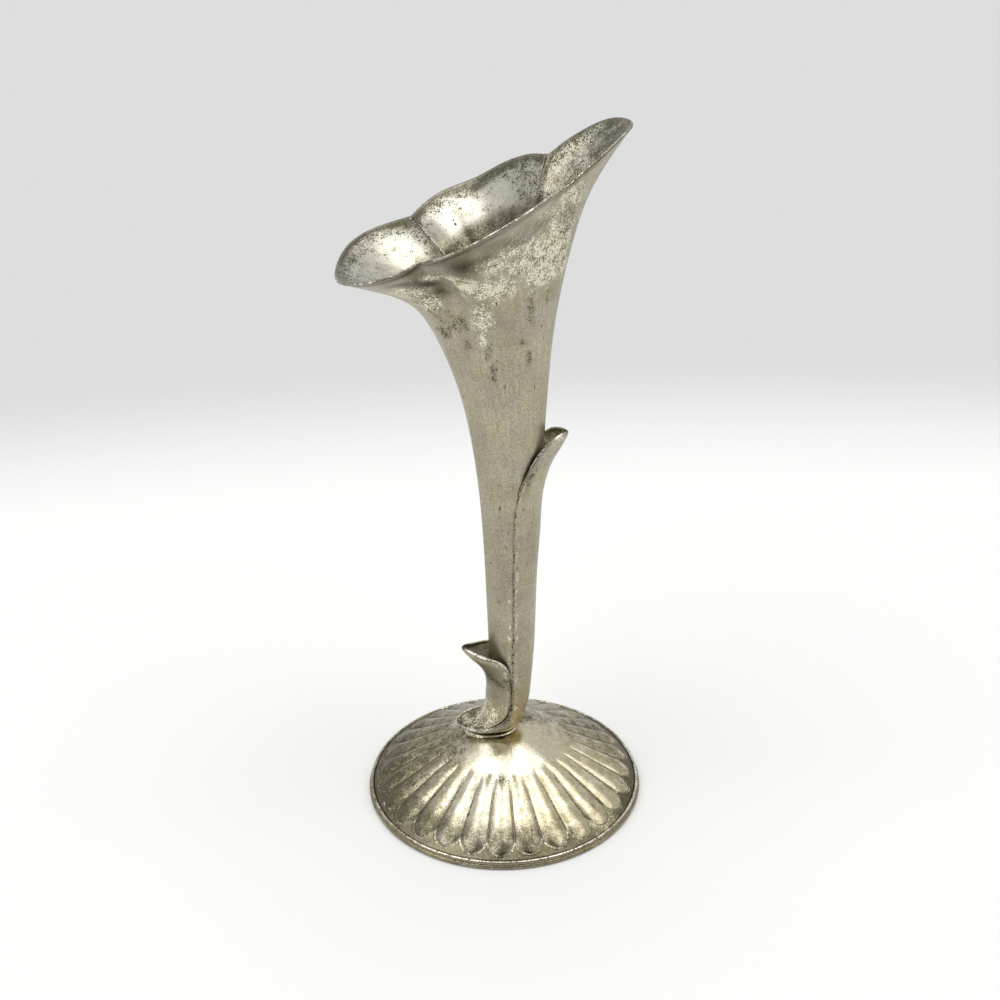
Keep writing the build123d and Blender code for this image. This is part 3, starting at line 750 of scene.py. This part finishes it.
def inside_zones(x, y, z, depth, bloom, fold, inner):
    """Zones inside the mouth, each from 0 to 1: lobes, creases, painted highlights beside them, bands of
    tarnish, painted shade just under the lip and beside the folds, a dark painted reflection low in the side
    lobes, and a wiped streak.
    """
    lobe = np.arange(x.shape[1]) // LOBE_STEPS
    right, left, sides = inner * (lobe == 0), inner * (lobe == 2), inner * (lobe % 2)
    back = inner * (0.5 + 0.5 * smooth(y, 0, 8))
    ridge = bloom**2 * bump(fold, RIDGE_PLACE, RIDGE_WIDTH)
    band_depth = BAND_DEPTH + sum(swell * bump(x, place, width) for place, width, swell in BAND_SWELLS)
    across = (x - WIPE_START[0]) * WIPE_WAY[0] - (z - WIPE_START[1]) * WIPE_WAY[1]
    beside = right * fall(fold, *RIGHT_FOLD_REACH)
    return {
        "right": right,
        "left": left,
        "sides": sides,
        "crease": inner * bloom**2 * bump(fold, 0, CREASE_WIDTH),
        "ridge": (left + sides * smooth(x, 0, 5)) * ridge,
        "band": back * smooth(band_depth - depth, -0.6, 0.6),
        "shade": back * smooth(SHADE_DEPTH - depth, -0.3, 0.3) * (depth > 0),
        # Dark painted reflection low in the side lobes
        "low": sides * smooth(BRINK_HEIGHT + BRINK_SLOPE * x - z, -1.2, 2.2),
        # Painted shade beside the left and right folds
        "by_left": left * fall(fold, *LEFT_FOLD_REACH) * fall(depth, *LEFT_FOLD_DEPTH),
        "by_right": np.maximum(beside, 0.4 * sides * smooth(x, *SIDE_RIGHT)),
        "tip": right * smooth(x, *TIP_REACH),
        "wipe": right * bump(across, 0, WIPE_WIDTH),
    }


def trumpet_traits(points, depth, bloom, outer):
    """The trumpet's tarnish and painted light: bright and dark inside, partly painted shade and reflection;
    dark lines at the folds with painted highlights beside them; a painted highlight along the lip, painted
    shade beside it and tarnish with painted shade below it; dried polish outside.
    """
    rows, columns = depth.shape
    turn = np.linspace(0, 2 * math.pi, columns, endpoint=False) + 0 * depth
    x, y, z = points[..., 0], points[..., 1], points[..., 2]
    inner = 1 - outer
    zone = inside_zones(x, y, z, depth, bloom, fold_distance(points), inner)
    lip = depth == 0
    # The lip's top row gets a painted highlight and its other rows painted shade
    bead = lip * bump(np.arange(rows) - rows / 2, 0, BEAD_ROWS)[:, None]
    # Below the lip outside: a band of tarnish that is also painted shade for the lip's dark reflection
    hem = 0.66 + 0.26 * np.maximum(fall(x, -11, -6), smooth(x, 12, 15))
    under = outer * hem * smooth(HEM_DEPTH + HEM_DEEPER * fall(x, -24, -12) - depth, -0.4, 0.4)
    from_leaf = edge_distance(points)
    seam = outer * 0.8 * bump(from_leaf, 0, SEAM_WIDTH) * fall(z, *SEAM_TOP)
    beside_seam = outer * 0.34 * bump(from_leaf, 1.0, 0.8) * fall(z, 60, 80)
    marked = outer * (0.7 + 0.3 * fall(y, -1, 4))
    cream = marked * soft_marks(x, z, CREAM_MARKS)
    golden = np.maximum(0.8 * smooth(depth, *GOLD_DEPTH), 0.22 * zone["right"] * fall(x, 15, 19))
    # Dark tarnish, with painted shade under the lip and beside the folds and a dark painted reflection low in
    # the side lobes
    tarnish_and_shade = [
        marked * soft_marks(x, z, TARNISH_AND_SHADE_MARKS), under, 0.22 * cream, 0.95 * zone["band"], 0.82 * zone["low"],
        0.56 * zone["by_left"], 0.8 * zone["by_right"], 0.75 * zone["tip"],
    ]
    olive = [
        marked * soft_marks(x, z, OLIVE_MARKS), 0.5 * cream, 0.16 * outer * smooth(z, 135, 150),
        inner * (0.2 + 0.42 * fall(depth, 2.5, 9)), 0.55 * zone["right"] * (1 - zone["wipe"]),
        0.5 * zone["left"] * fall(x, -36, -28), 0.5 * zone["sides"] * smooth(x, *SIDE_RIGHT),
        0.5 * zone["by_left"],
    ]
    grime_and_shade = [0.95 * zone["crease"], 0.55 * zone["shade"], seam, 0.35 * lip * (1 - bead)]
    return {
        "flow": streak_flow(TRUMPET_GIRTH, turn, depth),
        "grime_and_shade": np.maximum.reduce(grime_and_shade),
        # Painted highlights along the lip's top and beside the creases
        "bright": np.maximum(0.6 * bead, 0.6 * zone["ridge"]),
        "clean": inner * (0.95 - 0.3 * zone["right"]) * fall(depth, *BARE_DEPTH) + outer * 0.04,
        "cream": np.maximum(cream, beside_seam) + inner * 0.14 + 0.45 * zone["wipe"],
        "tarnish_and_shade": np.maximum.reduce(tarnish_and_shade),
        "olive": np.maximum.reduce(olive),
        "gold": inner * golden + outer * 0.05,
    }


def make_trumpet(finish):
    """The trumpet, one sheet from the stalk's bottom to the lip and back down inside."""
    points, depth, bloom, outer = trumpet()
    traits = trumpet_traits(points, depth, bloom, outer)
    faces = grid_faces(len(points), points.shape[1], True, True)
    make_piece("trumpet_shell", "trumpet", points, faces, traits, finish)


def edge_distance(points):
    """How far each point is from the long leaf's edges."""
    rows = rib_rows(SHEATH_RIBS)[2]
    line = np.concatenate([np.stack([rows[:, 0], k * rows[:, 1], rows[:, 2]], -1) for k in (-1, 1)])
    near = [np.linalg.norm(row[:, None] - line, axis=-1).min(1) for row in points]
    return np.array(near)


# Leaves


def rib_rows(ribs):
    """A leaf's ribs, filled in smoothly between those that are given."""
    ribs = np.array(ribs, float)
    knots = chord_knots(ribs)
    at = np.unique(np.concatenate([np.linspace(0, knots[-1], round(knots[-1] / RIB_SPACING)), knots]))
    rows = spline(knots, ribs, at)
    rows[:, 1] = np.maximum(rows[:, 1], 0)
    return at, knots, rows


def leaf_rings(rows):
    """Closed rings round a curled leaf: its outside from edge to edge, then its scooped inside back again."""
    turn = np.linspace(0, math.pi, RIB_STEPS)
    edge_x, wide, edge_z, spine_x, spine_z, rim = (rows[:, k, None] for k in range(6))
    fullness = np.interp(spine_z, HULL_FADE, (HULL_FULLNESS, 1.0))
    side, deep = -np.cos(turn), np.sin(turn) ** fullness
    reach = np.hypot(spine_x - edge_x, spine_z - edge_z)
    to_x = (spine_x - edge_x) / np.maximum(reach, 1e-6)
    to_z = (spine_z - edge_z) / np.maximum(reach, 1e-6)
    rim = np.minimum(rim, 0.8 * wide)

    def arc(half_width, length):
        x = edge_x + to_x * length * deep
        z = edge_z + to_z * length * deep
        return np.stack([x, half_width * side + 0 * x, z], -1)

    outside = arc(wide, reach)
    inside = arc(wide - rim, np.minimum(np.maximum(reach - LEAF_SHEET, 0.3 * reach), SCOOP_DEPTH))
    lift = np.stack([-to_x, 0 * to_x, -to_z], -1) * (rim[..., None] / 2)

    def edge(outer, inner):
        middle, half = (outer + inner) / 2, (outer - inner) / 2
        bends = np.radians((45, 90, 135))
        return np.concatenate([middle + half * math.cos(a) + lift * math.sin(a) for a in bends], 1)

    back = edge(outside[:, -1:], inside[:, -1:])
    front = edge(outside[:, :1], inside[:, :1])[:, ::-1]
    rings = np.concatenate([outside, back, inside[:, ::-1], front], 1)
    rings[..., 2] = np.maximum(rings[..., 2], COLLAR_TOP - ROOT_SINK)
    across = np.concatenate([turn, np.full(3, math.pi), turn[::-1], np.zeros(3)])
    return rings, across


def cap_faces(first):
    """Faces that close a leaf's ring, across its sheet and across its two rounded edges."""
    n = RIB_STEPS
    quads = [(first + k, first + k + 1, first + 2 * n + 1 - k, first + 2 * n + 2 - k) for k in range(n - 1)]
    back = [first + n - 1 + k for k in range(5)]
    front = [first] + [first + 2 * n + 2 + k for k in range(4)]
    return quads + [back, front]


def make_leaf(name, node, rows, finish, marks):
    """A curled sheet leaf, grimy along its edge, olive in its scoop and with a painted highlight along its
    thick rim round its tip.
    """
    rings, across = leaf_rings(rows)
    count, ring = rings.shape[:2]
    faces = grid_faces(count, ring, False, True)
    faces += cap_faces(0) + cap_faces((count - 1) * ring)
    from_edge = np.broadcast_to(np.sin(across), rings.shape[:2]) * rows[:, 1, None]
    inner = np.broadcast_to(np.arange(ring) > RIB_STEPS + 2, from_edge.shape)
    along = chord_knots(rows)[:, None] + 0 * from_edge
    proud = smooth(rows[:, 5, None], 0.45, 0.8)
    traits = {
        "flow": streak_flow(LEAF_GIRTH, across, along),
        # Painted highlight along the thick rim near the leaf's tips
        "bright": proud * 0.8 * bump(from_edge, 0, 0.4),
        "grime_and_shade": (1 - proud) * 0.85 * bump(from_edge, 0, 0.4) * ~inner,
        "olive": 0.2 * ~inner,
        "cream": 0.3 * bump(from_edge, 0.9, 0.6) * ~inner,
    }
    for trait, value in marks(rings, from_edge, inner).items():
        traits[trait] = np.maximum(traits.get(trait, 0), value)
    make_piece(name, node, rings, faces, traits, finish)


def root_marks(points, from_edge, inner):
    """The root leaf: golden below the stalk, dried polish and olive in its scoop."""
    x = points[..., 0]
    below_stalk = smooth(x, -2, 4)
    return {
        "gold": 0.8 * below_stalk,
        "olive": np.maximum(0.05 * smooth(x, -1, 4), 0.55 * inner),
        "clean": 0.35 * below_stalk,
        "cream": 0.5 * fall(x, -7, -2),
        "tarnish_and_shade": 0.3 * inner * fall(x, -11, -7),
    }


def long_marks(points, from_edge, inner):
    """The long leaf: golden at its bottom, an olive patch below its tip."""
    z = points[..., 2]
    patch = bump(z, 102, 3.5) * bump(from_edge, 1.5, 1.2) * ~inner
    return {
        "gold": 0.6 * fall(z, 30, 40),
        "olive": np.maximum(0.4 * inner, 0.66 * patch),
        "cream": 0.3 * inner,
    }


def lower_marks(points, from_edge, inner):
    """The lower leaf: dark inside its tip, an olive patch below it, dried polish on its tail."""
    z = points[..., 2]
    patch = bump(z, 38, 4) * ~inner
    tail = fall(z, 26, 33)
    return {
        "cream": (0.55 - 0.15 * inner) * tail,
        "olive": np.maximum(0.6 * patch, 0.55 * inner),
        "tarnish_and_shade": np.maximum(0.3 * patch, 0.55 * inner * (1 - 0.8 * tail)),
        "gold": 0.4 * tail,
    }


def make_leaves(finish):
    """The sheath, split into root and long leaf, and the lower leaf."""
    at, knots, rows = rib_rows(SHEATH_RIBS)
    split = int(np.searchsorted(at, knots[SHEATH_SPLIT]))
    make_leaf("root_leaf_sheet", "root_leaf", rows[:split + 1], finish, root_marks)
    make_leaf("long_leaf_sheet", "long_leaf", rows[split:], finish, long_marks)
    make_leaf("lower_leaf_sheet", "lower_leaf", rib_rows(LOWER_RIBS)[2], finish, lower_marks)


# Foot, rim and collar


def dome_height(radius):
    """The dome's height at a radius, without flutes."""
    crown = cubic(CROWN, np.linspace(0, 1, CROWN_STEPS))
    radii = np.concatenate([[0], crown[:, 0], [SLOPE_END[0], BRIM_RADIUS]])
    heights = np.concatenate([[DOME_TOP], crown[:, 1], [SLOPE_END[1], BRIM_TOP]])
    return np.interp(radius, radii, heights)


def flute_share(radius, aside):
    """0 on a flute's ridge and 1 on its edge, at a radius and a distance aside from its middle line."""
    half = np.minimum(radius, FLUTE_END) * math.tan(FLUTE_PITCH / 2) - FLUTE_GROOVE
    return np.hypot(aside, np.maximum(radius - FLUTE_END, 0)) / half


def flute_relief(radius, aside):
    """How far the flutes, the grooves between them and the lines round their ends stand out."""
    share = flute_share(radius, aside)
    rise = np.interp(radius, (FLUTE_START, FLUTE_END), (FLUTE_START_RISE, FLUTE_END_RISE))
    rise = rise * smooth(radius, FLUTE_START - FLUTE_LEAD[0], FLUTE_START + FLUTE_LEAD[1])
    swell = np.clip(1 - share**2, 0, 1) ** FLUTE_SWELL
    line = END_LINE_HEIGHT * bump(share, END_LINE_SHARE, END_LINE_WIDTH) * smooth(radius, *END_LINE_FADE)
    groove = GROOVE_DEPTH * bump(share, 1.0, GROOVE_WIDTH)
    return rise * swell + line - groove * smooth(radius, FLUTE_START, FLUTE_START + GROOVE_LEAD)


def ring_radii():
    """Radii of the foot's rings of points, closest together round the flutes' ends."""
    radii = [RING_STOPS[:1]]
    for start, stop, steps in zip(RING_STOPS, RING_STOPS[1:], RING_STEPS):
        radii.append(np.linspace(start, stop, steps + 1)[1:])
    return np.concatenate(radii)


def foot_points():
    """The foot's points, with their radii, turns, shares of a flute's width and whether they are on top."""
    top = ring_radii()
    under = np.flip(top)[::UNDER_STRIDE]
    share = -np.cos(np.linspace(0, math.pi, FLUTE_STEPS, endpoint=False))
    turn = (np.arange(FLUTES)[:, None] * FLUTE_PITCH + (share + 1) * FLUTE_PITCH / 2 - math.pi / 2).ravel()
    share = np.tile(share, FLUTES)
    radius = np.concatenate([top, under])[:, None] + 0 * turn
    aside = radius * np.sin(share * FLUTE_PITCH / 2)
    below = np.concatenate([np.zeros(len(top)), np.full(len(under), SHEET)])[:, None]
    height = dome_height(radius) + flute_relief(radius, aside) - below
    points = np.stack([radius * np.cos(turn), radius * np.sin(turn), height], -1)
    return points, radius, turn, flute_share(radius, aside), below == 0


def foot_traits(points, radius, turn, edge, upper):
    """The foot's tarnish and painted light: bare and golden in front, olive behind, dark grooves and brim,
    flute ends darkened by painted shade with olive, bare patches at the crown's highlights and painted
    highlights on the lines round the flute ends.
    """
    x, y = points[..., 0], points[..., 1]
    light = smooth(np.cos(turn - BRIGHT_WAY) + 0 * radius, -0.2, 0.75)
    fluted = smooth(radius, FLUTE_START - 1, FLUTE_START + 3)
    ends = smooth(radius, 33, 35)
    groove = fluted * bump(edge, 1.0, 0.04)
    fine_groove = fluted * bump(edge, 1.0, 0.035)
    # Painted highlight on the raised lines round the flute ends
    end_line = ends * bump(edge, END_LINE_SHARE, 0.035)
    brim = smooth(edge, 1.0, 1.1) * smooth(radius, 32, 35)
    crown = fall(radius, 17, 21)
    # Bare patches at the crown's highlights: partly wear, partly painted highlight
    glint = soft_marks(x, y, GLINT_MARKS) * upper
    # Painted shade, with some olive, on the flutes' steep outer ends, weaker to the right
    nose = smooth(radius, 27.5, 34.0) * (edge < 1) * (1 - 0.75 * smooth(x, 6, 16))
    patch = soft_marks(x, y, BRIM_PATCHES) * brim
    bare = (0.12 + 0.72 * light + 0.22 * crown) * (1 - brim) * (1 - 0.4 * nose)
    golden = np.maximum(0.2 + 0.3 * light * smooth(x, -10, 10), 0.45 * crown * light)
    dark_brim = 0.86 * brim * (1 - patch) * (1 - 0.3 * fall(x, -25, -5))
    return {
        "flow": streak_flow(FOOT_GIRTH, turn, radius),
        "grime_and_shade": 0.9 * groove * (1 - 0.6 * ends),
        "clean": np.maximum(bare, glint),
        "gold": golden * (1 - glint),
        "tarnish_and_shade": np.maximum.reduce([0.68 * nose, dark_brim, fine_groove]),
        "olive": 0.62 * (1 - light) + 0.2 * brim + 0.25 * nose + soft_marks(x, y, CROWN_STAINS),
        "cream": 0.08 + 0.12 * light * (1 - brim) + 0.6 * patch,
        "bright": np.maximum(0.7 * end_line, 0.5 * patch),
    }


def make_foot(finish):
    """The fluted dome, a pressed sheet open below."""
    points, radius, turn, edge, upper = foot_points()
    traits = foot_traits(points, radius, turn, edge, upper)
    faces = grid_faces(len(points), len(turn), True, True)
    make_piece("foot_dome", "foot", points, faces, traits, finish)


def lathe(profile, segments, centre=0.0):
    """Points of a closed profile of radii and heights turned about an upright axis."""
    turn = np.linspace(0, 2 * math.pi, segments, endpoint=False)
    profile = np.array(profile, float)
    x = centre + profile[:, :1] * np.cos(turn)
    y = profile[:, :1] * np.sin(turn)
    return np.stack([x, y, profile[:, 1:] + 0 * x], -1), turn


def arc_points(centre, radius, start, end, count):
    """Points of an arc, its angles in degrees."""
    turn = np.radians(np.linspace(start, end, count))
    return np.stack([centre[0] + radius * np.cos(turn), centre[1] + radius * np.sin(turn)], -1)


def make_rim(finish):
    """The rim that the foot stands on: a half-round wire with a finer bead above it."""
    top = rim_high[2]
    wire = (FOOT_RADIUS - WIRE_RADIUS, WIRE_RADIUS)
    bead = (FOOT_RADIUS - BEAD_INSET, top - BEAD_RADIUS + BEAD_PROUD)
    inner = FOOT_RADIUS - RIM_LAND
    profile = np.concatenate([
        [(inner, 0.0), (inner + RIM_SOLE[0], 0.0), (wire[0] - RIM_SOLE[1], 0.0)],
        arc_points(wire, WIRE_RADIUS, *WIRE_ARC, ARC_STEPS),
        arc_points(bead, BEAD_RADIUS, *BEAD_ARC, ARC_STEPS),
        [(FOOT_RADIUS - inset, height) for inset, height in BEAD_HEEL],
        [(inner, RIM_LAND_HEIGHT)],
    ])
    points, turn = lathe(profile, RIM_SEGMENTS)
    height = points[..., 2]
    # Painted highlight along the bead's top, stronger towards the front, and a fainter one along the wire
    shown = 0.45 + 0.35 * smooth(np.cos(turn - BRIGHT_WAY), -0.3, 0.6)
    traits = {
        "flow": streak_flow(FOOT_GIRTH, turn, chord_knots(profile)[:, None] + 0 * turn),
        "grime_and_shade": 0.9 * bump(height, *RIM_GROOVE) + 0.6 * fall(height, 0.0, 0.3),
        "bright": shown * smooth(height, top - 0.25, top - 0.08) + 0.3 * bump(height, *WIRE_LINE),
        "olive": 0.3 + 0 * height,
        "gold": 0.3 + 0 * height,
    }
    faces = grid_faces(len(points), len(turn), True, True)
    make_piece("foot_rim_wire", "foot_rim", points, faces, traits, finish)


def make_collar(finish):
    """The ring of solder between the root leaf and the dome, drawn in at front and back as the root is."""
    side = [(COLLAR_RADIUS + out, COLLAR_TOP - down) for out, down in COLLAR_PROFILE]
    profile = [(COLLAR_BORE, side[0][1]), *side, (COLLAR_BORE, side[-1][1])]
    points, turn = lathe(profile, COLLAR_SEGMENTS, COLLAR_X)
    points[..., 1] *= COLLAR_SQUEEZE
    seat = dome_height(np.hypot(points[..., 0], points[..., 1]))
    hem, sunk = COLLAR_HEM, COLLAR_HEM + 1
    points[hem, :, 2] = np.minimum(points[hem, :, 2], seat[hem] + COLLAR_HEM_RISE)
    points[sunk:, :, 2] = seat[sunk:] - COLLAR_SINK
    ring = np.arange(len(profile))[:, None] + 0 * turn
    traits = {
        "flow": points,
        "bright": 0.5 * (ring > 1),
        "grime_and_shade": 0.5 * (ring > hem),
        "gold": 0.5 + 0 * ring,
    }
    faces = grid_faces(len(points), len(turn), True, True)
    make_piece("stem_collar_ring", "stem_collar", points, faces, traits, finish)


# Floor, light and camera


def make_floor():
    """A wide pale floor, white under the vase and light grey far behind it."""
    half = FLOOR_HALF * MM
    corners = [(-half, -half, 0), (half, -half, 0), (half, half, 0), (-half, half, 0)]
    mesh = bpy.data.meshes.new("floor")
    mesh.from_pydata(corners, [], [(0, 1, 2, 3)])
    floor = bpy.data.objects.new("floor", mesh)
    bpy.context.scene.collection.objects.link(floor)
    finish = Finish("pale_floor")
    away = finish.nodes.new("ShaderNodeVectorMath")
    away.operation = "DISTANCE"
    finish.feed(away.inputs[0], finish.place())
    away.inputs[1].default_value = [MM * v for v in FADE_CENTRE]
    fade = finish.step(away.outputs["Value"], *(MM * v for v in FADE_REACH))
    finish.surface(finish.blend(fade, FLOOR_NEAR, FLOOR_FAR), 0.0, 0.9)
    finish.shader.inputs["Specular IOR Level"].default_value = 0.0
    mesh.materials.append(finish.material)


def make_tent():
    """A bright tent all round the vase, dim in front, before a backdrop of one pale grey."""
    world = bpy.data.worlds.new("studio")
    world.use_nodes = True
    nodes = world.node_tree.nodes
    links = world.node_tree.links
    squeeze = nodes.new("ShaderNodeVectorMath")
    squeeze.operation = "MULTIPLY"
    squeeze.inputs[1].default_value = FRONT_SQUEEZE
    reach = nodes.new("ShaderNodeVectorMath")
    reach.operation = "DISTANCE"
    reach.inputs[1].default_value = FRONT_WAY
    fade = nodes.new("ShaderNodeMapRange")
    fade.interpolation_type = "SMOOTHSTEP"
    for socket, value in zip(fade.inputs[1:5], (*FRONT_REACH, FRONT_STRENGTH, TENT_STRENGTH)):
        socket.default_value = value
    # The tent lights the vase and is mirrored in it; behind the vase only the backdrop shows
    seen = nodes.new("ShaderNodeMix")
    seen.inputs["B"].default_value = BACKDROP_STRENGTH
    back = nodes["Background"]
    back.inputs["Color"].default_value = TENT_COLOUR
    links.new(nodes.new("ShaderNodeTexCoord").outputs["Generated"], squeeze.inputs[0])
    links.new(squeeze.outputs["Vector"], reach.inputs[0])
    links.new(reach.outputs["Value"], fade.inputs["Value"])
    links.new(nodes.new("ShaderNodeLightPath").outputs["Is Camera Ray"], seen.inputs["Factor"])
    links.new(fade.outputs["Result"], seen.inputs["A"])
    links.new(seen.outputs["Result"], back.inputs["Strength"])
    bpy.context.scene.world = world


def make_lamps():
    """Soft lamps above the vase."""
    for number, (way, strength) in enumerate(zip(LAMP_WAYS, LAMP_STRENGTHS)):
        lamp = bpy.data.lights.new(f"lamp_{number}", "SUN")
        lamp.energy = strength
        lamp.angle = LAMP_ANGLE
        light = bpy.data.objects.new(f"lamp_{number}", lamp)
        light.rotation_euler = Vector(way).to_track_quat("Z", "Y").to_euler()
        bpy.context.scene.collection.objects.link(light)


def make_camera():
    """A camera aimed at the foot from in front and above, then lifted and rolled to fit the photograph."""
    flat = CAMERA_DISTANCE * math.cos(CAMERA_HEIGHT_ANGLE)
    height = CAMERA_DISTANCE * math.sin(CAMERA_HEIGHT_ANGLE)
    spot = Vector((-flat * math.sin(CAMERA_TURN), -flat * math.cos(CAMERA_TURN), height))
    ahead = -spot.normalized()
    right = ahead.cross(Vector((0, 0, 1))).normalized()
    up = right.cross(ahead)
    lifted_up = math.cos(CAMERA_LIFT) * up - math.sin(CAMERA_LIFT) * ahead
    lifted_ahead = math.sin(CAMERA_LIFT) * up + math.cos(CAMERA_LIFT) * ahead
    rolled_right = math.cos(CAMERA_ROLL) * right - math.sin(CAMERA_ROLL) * lifted_up
    rolled_up = math.sin(CAMERA_ROLL) * right + math.cos(CAMERA_ROLL) * lifted_up
    lens = bpy.data.cameras.new("camera")
    lens.sensor_width = SENSOR
    lens.lens = LENS
    camera = bpy.data.objects.new("camera", lens)
    bpy.context.scene.collection.objects.link(camera)
    turn = Matrix((rolled_right, rolled_up, -lifted_ahead)).transposed()
    camera.matrix_world = Matrix.Translation(spot * MM) @ turn.to_4x4()
    bpy.context.scene.camera = camera


def dress_nodes(names, finish):
    """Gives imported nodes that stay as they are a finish."""
    for name in names:
        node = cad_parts[name]
        if not node.material_slots:
            node.data.materials.append(finish)
        for slot in node.material_slots:
            slot.material = finish


make_trumpet(plate_finish(
    "trumpet_silver", light=tint(0.6, 0.57, 0.48), dark=tint(0.42, 0.395, 0.32), roughness=0.42, dents=2.0,
))
make_leaves(plate_finish(
    "leaf_silver", light=tint(0.59, 0.56, 0.465), dark=tint(0.42, 0.39, 0.315), roughness=0.4, dents=1.0,
))
make_foot(plate_finish(
    "foot_silver", light=tint(0.66, 0.62, 0.5), dark=tint(0.5, 0.465, 0.365), roughness=0.32, dents=4.0,
))
make_rim(plate_finish(
    "rim_silver", light=tint(0.46, 0.43, 0.34), dark=tint(0.32, 0.29, 0.22), roughness=0.3, dents=1.0,
))
make_collar(plate_finish(
    "collar_solder", light=tint(0.6, 0.57, 0.49), dark=tint(0.42, 0.39, 0.32), roughness=0.34, dents=1.0,
))
dress_nodes(["stem_plug"], plain_metal(
    "turned_brass", light=tint(0.55, 0.42, 0.18), dark=tint(0.32, 0.23, 0.09), grain=0.4,
))
dress_nodes(["washer"], plain_metal(
    "stamped_brass", light=tint(0.5, 0.39, 0.17), dark=tint(0.27, 0.2, 0.09), grain=0.8,
))
dress_nodes(["stud", "nut"], plain_metal(
    "dull_steel", light=tint(0.36, 0.35, 0.34), dark=tint(0.2, 0.19, 0.18), grain=0.5,
))
make_floor()
make_tent()
make_lamps()
make_camera()
bpy.context.scene.view_settings.view_transform = "Standard"
